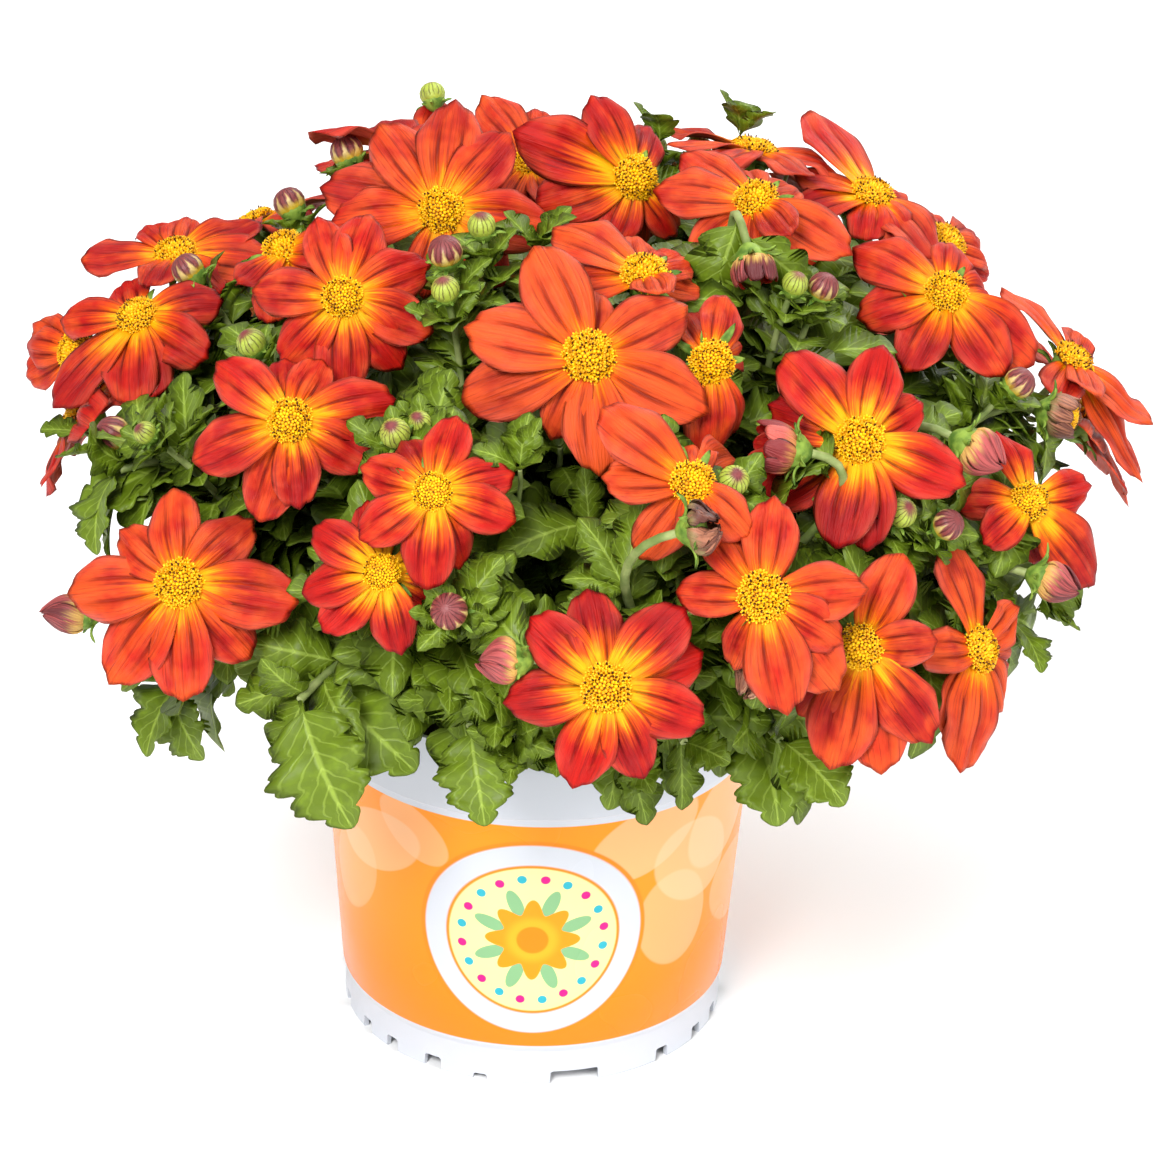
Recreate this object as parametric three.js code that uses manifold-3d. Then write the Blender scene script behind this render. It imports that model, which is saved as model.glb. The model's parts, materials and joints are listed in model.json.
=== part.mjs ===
// A flowering bidens in a plastic nursery pot.
// Units are millimetres, +Z is up, and the pot stands on z = 0.
// The plant is a mound that leans a little to +X, so the pot's own axis lies a little to -X of the origin.

import * as THREE from 'three';
import { mergeVertices } from 'three/addons/utils/BufferGeometryUtils.js';
import Module from 'manifold-3d';

const kernel = await Module();
kernel.setup();

const { Vector3 } = THREE;
const rad = THREE.MathUtils.degToRad;

// Driving sizes of the pot.
const POT = {
  axisX: -8,
  height: 105,
  rimRadius: 60,
  rimBand: 21,
  rimTaper: 0.8,
  rimSlope: 1,
  wallTopRadius: 57.6,
  wallFootRadius: 52.1,
  bandFoot: 11.5,
  bandStep: 1.2,
  footRadius: 51.3,
  wall: 1.5,
  floor: 5,
  floorThickness: 1.8,
  sides: 36,
};

// Notches of the pot's foot, by their angle from the front, repeated three times round.
const FOOT_NOTCHES = [
  { at: 14, width: 13.5, depth: 3.8 },
  { at: 44, width: 4.6, depth: 3.8 },
  { at: 61, width: 4.6, depth: 3.8 },
  { at: 74, width: 4.6, depth: 3.8 },
  { at: 90, width: 5.4, depth: 3.8 },
  { at: 105.5, width: 4.2, depth: 1.8 },
];
const NOTCH = { turns: 3, taper: 0.8, below: 1, length: 8, inwards: 5 };
const DRAIN = { count: 8, radius: 4, ring: 36, sides: 6 };

// Driving sizes of the soil and of the holes that the stems stand in.
const SOIL = {
  sides: 24,
  top: 96,
  crownRise: 1.5,
  gap: 0.3,
  edgeGap: 0.5,
  edgeFlare: 0.6,
  edgeDrop: 1.5,
  holeDepth: 12,
  holeSides: 8,
};
const CROWN = {
  stems: 8,
  ring: 13,
  seat: 1,
  stemRadius: 2.6,
  endRadius: 1.5,
  sides: 6,
  steps: 4,
  upright: 26,
  kneeReach: 0.5,
  kneeRise: 0.92,
  reach: 84,
  rise: 46,
};

// Driving sizes of the side stems, and the outlines of buds and heads as [place along, share of radius].
const STEM = {
  root: 1.3,
  tip: 1.0,
  sides: 4,
  steps: 3,
  firstPlace: 0.12,
  placeSpan: 0.8,
  leastPlace: 0.08,
  mostPlace: 0.95,
  leave: 0.35,
  arrive: 0.4,
  spare: 0.1,
};
const BUD_PROFILE = [[0.45, 0.8], [1.2, 1.0], [2.1, 0.36]];
const BUD_MIDDLE = 1;
const HEAD_PROFILE = [[0, 0.3], [0.1, 0.66], [0.32, 1.0], [0.6, 0.9], [0.84, 0.5], [1, 0.12]];
const HEAD_SIDES = 8;
const HEAD_TIP_LIFT = 2;
const SHOOT_EARLY = 0.4;
const SHOOT_DIP = 0.3;
const BUD_LIFT = 0.4;

// A side stem is bent by the first of these, as [sideways, up], that keeps it clear.
const BENDS = [[0, 0], [6, 0], [-6, 0], [0, 6], [0, -6], [12, 0], [-12, 0], [8, 8], [-8, 8], [8, -8],
  [-8, -8], [18, 0], [-18, 0], [0, 14], [0, -14], [24, 6], [-24, 6], [24, -10], [-24, -10],
  [34, 0], [-34, 0], [30, 14], [-30, 14], [30, -16], [-30, -16]];

// Driving sizes of the mound: the surface that the flower discs lie on.
const MOUND = { centreX: 3, centreZ: 150, radius: 128, rise: 82 };

// The photograph's viewpoint: pixels are read in its 1170 x 1170 frame.
const VIEW = {
  focalPx: 5050,
  centrePx: 585,
  elevation: rad(26.7),
  roll: rad(1.59),
  distance: 1337,
  targetX: 3.55,
  targetZ: 123.5,
};

// Driving sizes of a bloom.
const BLOOM = {
  discRadius: 6,
  discHeight: 4,
  cupFoot: 2.2,
  cupDepth: 6.5,
  petalHalfWidth: 7,
  petalDrop: 0.4,
  petalThickness: 1.3,
  petalArch: 2.6,
  petalFold: 0.9,
  reach: 27,
  longest: 35,
  shortest: 20,
  droop: 2.5,
  seat: 0.3,
};

// Half outline of a petal, as [place along it, share of the half width].
const PETAL_SIDE = [
  [0.36, 0.56],
  [0.66, 1.0],
  [0.92, 0.62],
];
const PETAL_RIBS = [0.58];
const PETAL_WIDTHS = { least: 0.75, most: 1.15 };
const LEAST_FACING = 0.4;

// The flower's disc and cup: room kept clear by other pieces, and the rings of the shell that they make.
const DISC_ROOM = { sides: 8, brim: 2, under: 1.4, over: 1.2, shoulder: 0.8, shoulderHeight: 0.9, top: 0.1 };
const SHELL = { underInset: 0.8, underDrop: 1, overInset: 0.6, overRise: 0.6, brim: 0.78 };

// A petal is free of its neighbours from this place along it. It is tried at these shifts in depth, and
// then slimmer, until it is clear of what it would cross.
const PETAL_FREE = 0.29;
const PETAL_SHIFTS = [0, -2, 2, -4, 4, -6, 6, -8, 8, -11, 11, -14, 14, -17, 17];
const PETAL_FORMS = [[1, 1], [0.84, 1], [0.68, 1], [0.68, 0.84], [0.5, 0.7]];
const CLEAR = 0.2;

// Near the disc a petal keeps to its own share of the ring, so its first corners are drawn in to one of
// these shares of their width.
const BASE_SHARES = [1, 0.85, 0.7, 0.55, 0.4, 0.25, 0.1];
const SECTOR_GAP = 0.04;
const SECTOR_LEAST = 0.4;
const SPREAD_ROUNDS = 60;
const SLIMMING = 0.75;
const SLIMMEST = 0.35;

// The leaves, with the half outline's teeth and lobes.
const BROAD_LEAF = {
  share: 0.32,
  archShare: 0.1,
  thickness: 1.2,
  fold: 1.2,
  side: [[0.12, 0.1], [0.3, 0.66], [0.4, 0.42], [0.52, 1.0], [0.68, 0.5], [0.8, 0.62]],
  ribs: [0.08, 0.5],
};
const SMALL_LEAF = {
  share: 0.3,
  archShare: 0.12,
  thickness: 1,
  fold: 0.8,
  side: [[0.2, 0.16], [0.46, 1.0], [0.78, 0.56]],
  ribs: [0.4],
  shortest: 17,
  longest: 26,
  place: 0.62,
  out: 0.85,
  ahead: 0.5,
  lift: 0.6,
};
const BROAD_LIFT = 0.7;
const LEAF_TURNS = [0, 20, -20, 40, -40, 60, -60, 80, -80, 100, -100];
const LEAF_DEPTHS = [8, 4, 12, 0, 16, -4, -8, 20, -12, -16];

const px = (x, y) => ({ x, y });

// Blooms seen in the photograph. face is the flower's facing as [right, up] in the picture, lift moves it
// towards the viewer, and tips are the petals' tips.
const BLOOMS = [
  { name: 'bloom_14', disc: px(606, 688), face: [0, 0.05], lift: 6, tips: [px(530, 617), px(588, 589),
    px(682, 606), px(704, 650), px(704, 725), px(645, 778), px(575, 789), px(503, 706)] },
  { name: 'bloom_11', disc: px(763, 597), face: [0.05, 0.1], lift: 9, tips: [px(775, 497), px(706, 512),
    px(676, 592), px(733, 672), px(788, 716), px(840, 690), px(870, 590), px(846, 640)] },
  { name: 'bloom_12', disc: px(862, 646), face: [-0.3, -0.15], lift: 0, tips: [px(905, 554), px(938, 640),
    px(934, 742), px(884, 772), px(832, 768), px(797, 716)] },
  { name: 'bloom_13', disc: px(977, 650), face: [0.7, 0.1], lift: 0, tips: [px(948, 541), px(1017, 610),
    px(1015, 655), px(1003, 711), px(957, 773), px(940, 742), px(926, 650)] },
  { name: 'bloom_21', disc: px(433, 492), face: [0, 0.1], lift: 8, tips: [px(455, 418), px(398, 440),
    px(362, 468), px(359, 540), px(425, 590), px(458, 572), px(516, 522), px(514, 472)] },
  { name: 'bloom_22', disc: px(382, 572), face: [0, 0.15], lift: 0, tips: [px(312, 528), px(301, 592),
    px(326, 634), px(405, 655), px(437, 597), px(366, 505), px(446, 560)] },
  { name: 'bloom_23', disc: px(180, 584), face: [-0.15, 0.1], lift: 0, tips: [px(172, 488), px(254, 518),
    px(300, 604), px(252, 658), px(184, 702), px(110, 684), px(66, 594), px(116, 530)] },
  { name: 'bloom_15', disc: px(692, 484), face: [0.25, 0.2], lift: 9, tips: [px(601, 408), px(600, 478),
    px(641, 561), px(752, 533), px(690, 440), px(735, 462), px(700, 556)] },
  { name: 'bloom_16', disc: px(589, 357), face: [0, 0.1], lift: 4, tips: [px(464, 325), px(533, 247),
    px(592, 290), px(687, 302), px(709, 414), px(600, 478), px(549, 440), px(461, 400)] },
  { name: 'bloom_09', disc: px(860, 441), face: [0, 0.12], lift: 3, tips: [px(788, 351), px(884, 345),
    px(922, 408), px(965, 487), px(869, 552), px(836, 550), px(757, 500), px(766, 404)] },
  { name: 'bloom_10', disc: px(1028, 502), face: [0.4, 0.2], lift: 0, tips: [px(1001, 428), px(1091, 489),
    px(1096, 586), px(1040, 560), px(978, 545), px(953, 502)] },
  { name: 'bloom_19', disc: px(343, 298), face: [0.02, 0.12], lift: 8, tips: [px(318, 218), px(371, 212),
    px(431, 259), px(434, 332), px(405, 368), px(340, 397), px(281, 366), px(252, 288)] },
  { name: 'bloom_20', disc: px(290, 421), face: [-0.05, 0.12], lift: 1, tips: [px(216, 361), px(283, 360),
    px(322, 362), px(398, 401), px(372, 465), px(303, 510), px(263, 522), px(192, 460)] },
  { name: 'bloom_18', disc: px(711, 362), face: [0.1, -0.1], lift: 0, tips: [px(724, 300), px(690, 313),
    px(744, 342), px(728, 440), px(710, 456)] },
  { name: 'bloom_06', disc: px(946, 293), face: [0.08, 0.3], lift: 6, tips: [px(955, 239), px(853, 244),
    px(857, 320), px(905, 374), px(1003, 378), px(1034, 366), px(996, 296)] },
  { name: 'bloom_17', disc: px(645, 277), face: [0.1, 0.55], lift: 8, tips: [px(553, 224), px(547, 293),
    px(660, 300), px(694, 296), px(684, 262), px(640, 240)] },
  { name: 'bloom_01', disc: px(441, 211), face: [0, 0.1], lift: 6, tips: [px(380, 122), px(456, 98),
    px(510, 134), px(552, 232), px(505, 285), px(425, 300), px(330, 224), px(320, 190)] },
  { name: 'bloom_04', disc: px(757, 203), face: [0.05, 0.42], lift: 6, tips: [px(652, 193), px(690, 260),
    px(680, 160), px(740, 168), px(792, 190), px(851, 260), px(795, 240), px(760, 262)] },
  { name: 'bloom_03', disc: px(634, 178), face: [0.35, 0.0], lift: 0, tips: [px(590, 95), px(648, 128),
    px(514, 131), px(537, 208), px(606, 250), px(650, 244), px(680, 236)] },
  { name: 'bloom_02', disc: px(533, 163), face: [0.1, 0.4], lift: -6, tips: [px(482, 97), px(535, 112),
    px(596, 140), px(600, 178), px(560, 215), px(510, 222), px(456, 190)] },
  { name: 'bloom_05', disc: px(872, 196), face: [0.2, 0.75], lift: 0, tips: [px(808, 117), px(792, 174),
    px(790, 214), px(865, 241), px(903, 243), px(937, 257), px(905, 200)] },
  { name: 'bloom_07', disc: px(1072, 362), face: [0.55, 0.68], lift: 0, tips: [px(1001, 287), px(1072, 336),
    px(1147, 432), px(1138, 486), px(1092, 402), px(1050, 400)] },
  { name: 'bloom_24', disc: px(138, 318), face: [-0.35, 0.5], lift: 6, tips: [px(52, 408), px(60, 322),
    px(128, 287), px(222, 299), px(206, 358), px(151, 402), px(128, 407)] },
  { name: 'bloom_25', disc: px(176, 256), face: [-0.1, 0.7], lift: -8, tips: [px(82, 265), px(148, 228),
    px(185, 218), px(262, 228), px(283, 265), px(224, 296), px(146, 288)] },
  { name: 'bloom_26', disc: px(285, 252), face: [-0.2, 0.5], lift: -14, tips: [px(240, 292), px(268, 325),
    px(300, 236), px(335, 250), px(320, 290)] },
  { name: 'bloom_27', disc: px(78, 352), face: [-0.6, 0.1], lift: -14, tips: [px(36, 322), px(22, 345),
    px(30, 378), px(80, 388), px(92, 316)] },
  { name: 'bloom_28', disc: px(944, 244), face: [0.5, 0.5], lift: -16, tips: [px(938, 220), px(975, 234),
    px(990, 262), px(984, 276), px(930, 270)] },
  { name: 'bloom_30', disc: px(792, 238), face: [0.0, 0.3], lift: -14, tips: [px(742, 250), px(770, 272),
    px(822, 262), px(838, 236), px(800, 200)] },
  { name: 'bloom_31', disc: px(428, 148), face: [-0.1, 0.6], lift: -20, tips: [px(402, 118), px(440, 106),
    px(352, 180), px(336, 188), px(470, 130)] },
];

// Blooms on the hidden side of the mound, in rows at a height angle of the mound, azimuths from +X.
const BACK_ROWS = [
  { height: 4, from: 8, to: 172, count: 5 },
  { height: 33, from: 50, to: 140, count: 4 },
  { height: 55, from: 55, to: 125, count: 2 },
];
const BACK = {
  petals: 7,
  reach: 1.065,
  turnDraw: 8,
  heightDraw: 10,
  lift: 0.35,
  petalTurnDraw: 0.2,
  leastPetal: 0.94,
  petalDraw: 0.14,
};

// Heads that are not open. Each lies from its base to its point.
const HEADS = [
  { name: 'head_half_open', base: px(806, 452), point: px(752, 444), lift: 2, radius: 6.2 },
  { name: 'head_wilted_right', base: px(955, 438), point: px(1006, 468), lift: 4, radius: 6 },
  { name: 'head_wilted_brown', base: px(682, 532), point: px(722, 524), lift: 16, radius: 6.4 },
  { name: 'head_opening_front', base: px(528, 660), point: px(474, 662), lift: 2, radius: 5.6 },
  { name: 'head_opening_left', base: px(98, 614), point: px(38, 614), lift: -2, radius: 5 },
  { name: 'head_opening_right', base: px(1030, 574), point: px(1082, 592), lift: 0, radius: 5 },
  { name: 'head_wilted_tan', base: px(768, 652), point: px(742, 698), lift: -4, radius: 5 },
  { name: 'head_wilted_top', base: px(748, 248), point: px(758, 288), lift: 10, radius: 5.6 },
  { name: 'head_turned', base: px(1040, 410), point: px(1080, 420), lift: -4, radius: 6 },
];

// Small buds of the leafy stems.
const BUDS = [
  { at: px(348, 155), lift: 2, radius: 4.6 },
  { at: px(291, 206), lift: -2, radius: 4.4 },
  { at: px(433, 97), lift: -28, radius: 3.6 },
  { at: px(482, 228), lift: 14, radius: 3.6 },
  { at: px(446, 255), lift: 14, radius: 4.4 },
  { at: px(446, 292), lift: 8, radius: 3.6 },
  { at: px(190, 272), lift: 8, radius: 4.4 },
  { at: px(116, 436), lift: 0, radius: 4.8 },
  { at: px(147, 434), lift: 2, radius: 3 },
  { at: px(253, 345), lift: -4, radius: 3.8 },
  { at: px(396, 435), lift: 2, radius: 3.8 },
  { at: px(420, 424), lift: -4, radius: 3 },
  { at: px(450, 612), lift: 0, radius: 4.6 },
  { at: px(733, 482), lift: 6, radius: 3.8 },
  { at: px(900, 514), lift: -4, radius: 3.8 },
  { at: px(946, 526), lift: -2, radius: 4 },
  { at: px(1017, 385), lift: -2, radius: 4.2 },
  { at: px(822, 290), lift: -4, radius: 4 },
  { at: px(794, 286), lift: -2, radius: 3.4 },
  { at: px(655, 150), lift: -16, radius: 3.4 },
  { at: px(698, 150), lift: -16, radius: 3.6 },
];

// Low shoots that hang over the rim, with their broad leaves. Each shoot runs to its end, and every leaf
// has its place along the shoot and the pixel of its tip.
const SHOOTS = [
  { end: px(300, 700), lift: -20, leaves: [[0.55, px(236, 662)], [0.8, px(286, 752)], [1, px(345, 828)],
    [0.9, px(410, 770)]] },
  { end: px(170, 680), lift: -30, leaves: [[0.7, px(118, 676)], [0.9, px(136, 746)], [1, px(196, 760)]] },
  { end: px(470, 726), lift: -24, leaves: [[0.6, px(500, 640)], [0.8, px(420, 690)], [1, px(484, 822)]] },
  { end: px(626, 752), lift: -34, leaves: [[0.9, px(612, 806)], [1, px(652, 790)]] },
  { end: px(684, 742), lift: -30, leaves: [[0.8, px(678, 790)], [1, px(728, 760)]] },
  { end: px(780, 740), lift: -30, leaves: [[0.6, px(730, 770)], [0.85, px(784, 822)], [1, px(846, 800)]] },
  { end: px(930, 650), lift: -40, leaves: [[0.8, px(960, 690)], [1, px(916, 700)]] },
  { end: px(1010, 620), lift: -20, leaves: [[0.7, px(1040, 560)], [1, px(1046, 668)]] },
  { end: px(120, 470), lift: -10, leaves: [[0.7, px(74, 495)], [0.9, px(96, 430)], [1, px(86, 548)]] },
];

// A repeatable draw between 0 and 1.
function draw(seed) {
  const value = Math.sin(seed * 12.9898) * 43758.5453;
  return value - Math.floor(value);
}

// Directions of the photograph's view.
const back = new Vector3(0, -Math.cos(VIEW.elevation), Math.sin(VIEW.elevation));
const level = new Vector3(1, 0, 0);
const steep = new Vector3(0, Math.sin(VIEW.elevation), Math.cos(VIEW.elevation));
const right = level.clone().multiplyScalar(Math.cos(VIEW.roll)).addScaledVector(steep, Math.sin(VIEW.roll));
const up = level.clone().multiplyScalar(-Math.sin(VIEW.roll)).addScaledVector(steep, Math.cos(VIEW.roll));
const eye = new Vector3(VIEW.targetX, 0, VIEW.targetZ).addScaledVector(back, VIEW.distance);
const moundCentre = new Vector3(MOUND.centreX, 0, MOUND.centreZ);
const moundSize = new Vector3(MOUND.radius, MOUND.radius, MOUND.rise);

function rayThrough(pixel) {
  return back.clone().negate()
    .addScaledVector(right, (pixel.x - VIEW.centrePx) / VIEW.focalPx)
    .addScaledVector(up, (VIEW.centrePx - pixel.y) / VIEW.focalPx)
    .normalize();
}

// The point of the mound's near side that a pixel shows, moved towards the eye by lift.
function onMound(pixel, lift) {
  const ray = rayThrough(pixel);
  const start = eye.clone().sub(moundCentre).divide(moundSize);
  const step = ray.clone().divide(moundSize);
  const a = step.lengthSq();
  const b = start.dot(step);
  const c = start.lengthSq() - 1;
  const reach = (-b - Math.sqrt(Math.max(0, b * b - a * c))) / a;
  return eye.clone().addScaledVector(ray, reach - lift);
}

// The point that a pixel shows at the depth of another point, moved towards the eye by offset.
function atDepth(pixel, point, offset) {
  const ray = rayThrough(pixel);
  const depth = point.clone().sub(eye).dot(back) + offset;
  return eye.clone().addScaledVector(ray, depth / ray.dot(back));
}

function facing(face) {
  const [u, v] = face;
  const w = Math.sqrt(Math.max(0, 1 - u * u - v * v));
  return right.clone().multiplyScalar(u).addScaledVector(up, v).addScaledVector(back, w).normalize();
}

// A closed solid from its corner points and triangles.
function solidFrom(points, faces) {
  const vertProperties = new Float32Array(points.flatMap((p) => [p.x, p.y, p.z]));
  const triVerts = new Uint32Array(faces.flat());
  return new kernel.Manifold(new kernel.Mesh({ numProp: 3, vertProperties, triVerts }));
}

function solidFromGeometry(geometry) {
  geometry.deleteAttribute('normal');
  geometry.deleteAttribute('uv');
  const merged = mergeVertices(geometry, 1e-4);
  const vertProperties = new Float32Array(merged.attributes.position.array);
  const corners = Array.from(merged.index.array);
  const triVerts = [];
  for (let i = 0; i < corners.length; i += 3) {
    const [a, b, c] = corners.slice(i, i + 3);
    if (a !== b && b !== c && c !== a) triVerts.push(a, b, c);
  }
  const mesh = new kernel.Mesh({ numProp: 3, vertProperties, triVerts: new Uint32Array(triVerts) });
  return new kernel.Manifold(mesh);
}

function joined(solids) {
  return solids.reduce((whole, piece) => whole.add(piece));
}

// A solid keeps its largest body, and loose scraps are dropped.
function largestBody(solid) {
  const bodies = solid.decompose();
  return bodies.reduce((best, body) => (body.volume() > best.volume() ? body : best));
}

// Triangles between the rib line and one side line of a blade. Both lines share the base and the tip.
function ladder(base, tip, rib, side, ribPlaces, sidePlaces) {
  const faces = [[base, rib[0], side[0]]];
  let i = 0;
  let j = 0;
  while (i < rib.length - 1 || j < side.length - 1) {
    const ribNext = j === side.length - 1 || (i < rib.length - 1 && ribPlaces[i + 1] <= sidePlaces[j + 1]);
    if (ribNext) {
      faces.push([rib[i], rib[i + 1], side[j]]);
      i += 1;
    } else {
      faces.push([rib[i], side[j + 1], side[j]]);
      j += 1;
    }
  }
  faces.push([rib[i], tip, side[j]]);
  return faces;
}

// A thin blade, such as a petal or a leaf: one outline, with rib points over and under it. It is split
// into triangles alike on both faces. grow makes it larger all round.
function bladePlace({ base, tip, normal, arch }) {
  const along = tip.clone().sub(base);
  const length = along.length();
  along.normalize();
  const over = normal.clone().addScaledVector(along, -normal.dot(along)).normalize();
  const across = over.clone().cross(along);
  return (s, w, h) => base.clone()
    .addScaledVector(along, s * length)
    .addScaledVector(across, w)
    .addScaledVector(over, 4 * arch * s * (1 - s) + h);
}

function blade(shape, grow = 0) {
  const { base, tip, halfWidth, side, ribs, thickness, fold, from = 0 } = shape;
  const length = tip.distanceTo(base);
  const place = bladePlace(shape);
  const points = [place(from - grow / length, 0, 0), place(1 + grow / length, 0, 0)];
  const add = (point) => points.push(point) - 1;
  const left = side.map(([s, w]) => add(place(s, w * halfWidth + grow, -fold * w)));
  const rightSide = side.map(([s, w]) => add(place(s, -w * halfWidth - grow, -fold * w)));
  const top = ribs.map((s) => add(place(s, 0, thickness / 2 + grow)));
  const under = ribs.map((s) => add(place(s, 0, -thickness / 2 - grow)));
  const places = side.map(([s]) => s);
  const flip = (faces) => faces.map(([a, b, c]) => [a, c, b]);
  const faces = [
    ...ladder(0, 1, top, left, ribs, places),
    ...flip(ladder(0, 1, top, rightSide, ribs, places)),
    ...flip(ladder(0, 1, under, left, ribs, places)),
    ...ladder(0, 1, under, rightSide, ribs, places),
  ];
  return solidFrom(points, faces);
}

// A point and a direction on a cubic curve.
function onCurve(curve, t) {
  const [a, b, c, d] = curve;
  const r = 1 - t;
  const point = a.clone().multiplyScalar(r * r * r)
    .addScaledVector(b, 3 * r * r * t)
    .addScaledVector(c, 3 * r * t * t)
    .addScaledVector(d, t * t * t);
  const direction = b.clone().sub(a).multiplyScalar(r * r)
    .addScaledVector(c.clone().sub(b), 2 * r * t)
    .addScaledVector(d.clone().sub(c), t * t)
    .normalize();
  return { point, direction };
}

// The first direction across a tube, which runs along none of the stems.
const TUBE_AXIS = new Vector3(0.31, 0.95, 0.07);

// A tube with flat ends, through stations of a point and a direction, with a radius at each.
function tube(stations, radii, sides, grow = 0) {
  const points = [];
  const faces = [];
  let axis = TUBE_AXIS.clone();
  stations.forEach(({ point, direction }, k) => {
    axis = axis.clone().addScaledVector(direction, -axis.dot(direction)).normalize();
    const other = direction.clone().cross(axis);
    const radius = radii[k] + grow;
    for (let i = 0; i < sides; i += 1) {
      const angle = (2 * Math.PI * i) / sides;
      points.push(point.clone()
        .addScaledVector(axis, radius * Math.cos(angle))
        .addScaledVector(other, radius * Math.sin(angle)));
    }
  });
  for (let k = 0; k < stations.length - 1; k += 1) {
    for (let i = 0; i < sides; i += 1) {
      const a = k * sides + i;
      const b = k * sides + ((i + 1) % sides);
      faces.push([a, b, b + sides], [a, b + sides, a + sides]);
    }
  }
  const last = (stations.length - 1) * sides;
  for (let i = 1; i < sides - 1; i += 1) {
    faces.push([0, i + 1, i], [last, last + i, last + i + 1]);
  }
  return solidFrom(points, faces);
}

function curveStations(curve, steps) {
  return Array.from({ length: steps + 1 }, (_, k) => onCurve(curve, k / steps));
}

// A turned solid on the pot's axis, from its closed profile of [radius, height].
function turned(profile, sides) {
  const outline = profile.map(([r, z]) => new THREE.Vector2(r, z));
  const geometry = new THREE.LatheGeometry(outline, sides);
  geometry.rotateX(Math.PI / 2);
  geometry.translate(POT.axisX, 0, 0);
  return solidFromGeometry(geometry);
}

// Makes a node of the object from a solid and a material.
const plant = new THREE.Group();
function addNode(name, solid, material) {
  const { vertProperties, triVerts } = solid.getMesh();
  const geometry = new THREE.BufferGeometry();
  geometry.setAttribute('position', new THREE.BufferAttribute(new Float32Array(vertProperties), 3));
  geometry.setIndex(new THREE.BufferAttribute(new Uint32Array(triVerts), 1));
  geometry.computeVertexNormals();
  const mesh = new THREE.Mesh(geometry, material);
  mesh.name = name;
  plant.add(mesh);
}

const MATERIALS = {
  pot: new THREE.MeshStandardMaterial({ color: '#f4f2ef', roughness: 0.35, metalness: 0 }),
  soil: new THREE.MeshStandardMaterial({ color: '#2c211b', roughness: 1, metalness: 0 }),
  leaf: new THREE.MeshStandardMaterial({ color: '#4f7a2a', roughness: 0.7, metalness: 0 }),
  petal: new THREE.MeshStandardMaterial({ color: '#dc4427', roughness: 0.55, metalness: 0 }),
  head: new THREE.MeshStandardMaterial({ color: '#8c4a38', roughness: 0.7, metalness: 0 }),
};

// The pot: a tapered wall with a rim band, a step under the printed band, a raised floor with drain holes,
// and a foot cut into blocks.
function wallRadius(z) {
  const share = (z - POT.bandFoot) / (POT.height - POT.rimBand - POT.bandFoot);
  return THREE.MathUtils.lerp(POT.wallFootRadius, POT.wallTopRadius, share);
}

function makePot() {
  const rimFoot = POT.height - POT.rimBand;
  const inner = (z) => wallRadius(z) - POT.wall;
  const floorTop = POT.floor + POT.floorThickness;
  const profile = [
    [0, POT.floor],
    [POT.footRadius - POT.wall, POT.floor],
    [POT.footRadius - POT.wall, 0],
    [POT.footRadius, 0],
    [POT.footRadius, POT.bandFoot - POT.bandStep],
    [wallRadius(POT.bandFoot), POT.bandFoot],
    [wallRadius(rimFoot), rimFoot],
    [POT.rimRadius - POT.rimTaper, rimFoot + POT.rimSlope],
    [POT.rimRadius, POT.height],
    [POT.rimRadius - POT.wall, POT.height],
    [inner(rimFoot), rimFoot],
    [inner(floorTop), floorTop],
    [0, floorTop],
  ];
  const shell = turned(profile, POT.sides);
  const cuts = [];
  for (let turn = 0; turn < NOTCH.turns; turn += 1) {
    for (const { at, width, depth } of FOOT_NOTCHES) {
      const outline = new THREE.Shape([
        new THREE.Vector2(-width / 2, -NOTCH.below),
        new THREE.Vector2(width / 2, -NOTCH.below),
        new THREE.Vector2(width / 2 - NOTCH.taper, depth),
        new THREE.Vector2(-width / 2 + NOTCH.taper, depth),
      ]);
      const block = new THREE.ExtrudeGeometry(outline, { depth: NOTCH.length, bevelEnabled: false });
      block.rotateX(Math.PI / 2);
      block.translate(0, NOTCH.inwards - POT.footRadius, 0);
      block.rotateZ(rad(at + (360 / NOTCH.turns) * turn));
      block.translate(POT.axisX, 0, 0);
      cuts.push(solidFromGeometry(block));
    }
  }
  for (let k = 0; k < DRAIN.count; k += 1) {
    const angle = (2 * Math.PI * (k + 0.5)) / DRAIN.count;
    const hole = new THREE.CylinderGeometry(DRAIN.radius, DRAIN.radius, 3 * POT.floorThickness, DRAIN.sides);
    hole.rotateX(Math.PI / 2);
    const middle = POT.floor + POT.floorThickness / 2;
    hole.translate(POT.axisX + DRAIN.ring * Math.cos(angle), DRAIN.ring * Math.sin(angle), middle);
    cuts.push(solidFromGeometry(hole));
  }
  return shell.subtract(joined(cuts));
}

// The foot of each main stem in the crown.
function crownFoot(index) {
  const angle = (2 * Math.PI * (index + 0.5)) / CROWN.stems;
  return new Vector3(POT.axisX + CROWN.ring * Math.cos(angle), CROWN.ring * Math.sin(angle), SOIL.top);
}

// The soil fills the pot to just under its rim, and has a plain hole for each main stem.
function makeSoil() {
  const floorTop = POT.floor + POT.floorThickness + SOIL.gap;
  const edge = (z) => wallRadius(z) - POT.wall - SOIL.edgeGap;
  const rimFoot = POT.height - POT.rimBand;
  const profile = [
    [0, floorTop],
    [edge(floorTop), floorTop],
    [edge(rimFoot), rimFoot],
    [edge(rimFoot) + SOIL.edgeFlare, SOIL.top - SOIL.edgeDrop],
    [0, SOIL.top + SOIL.crownRise],
  ];
  const body = turned(profile, SOIL.sides);
  const holes = [];
  for (let k = 0; k < CROWN.stems; k += 1) {
    const { x, y } = crownFoot(k);
    const radius = CROWN.stemRadius + 2 * SOIL.gap;
    const hole = new THREE.CylinderGeometry(radius, radius, 2 * SOIL.holeDepth, SOIL.holeSides);
    hole.rotateX(Math.PI / 2);
    hole.translate(x, y, SOIL.top);
    holes.push(solidFromGeometry(hole));
  }
  return body.subtract(joined(holes));
}

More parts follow.
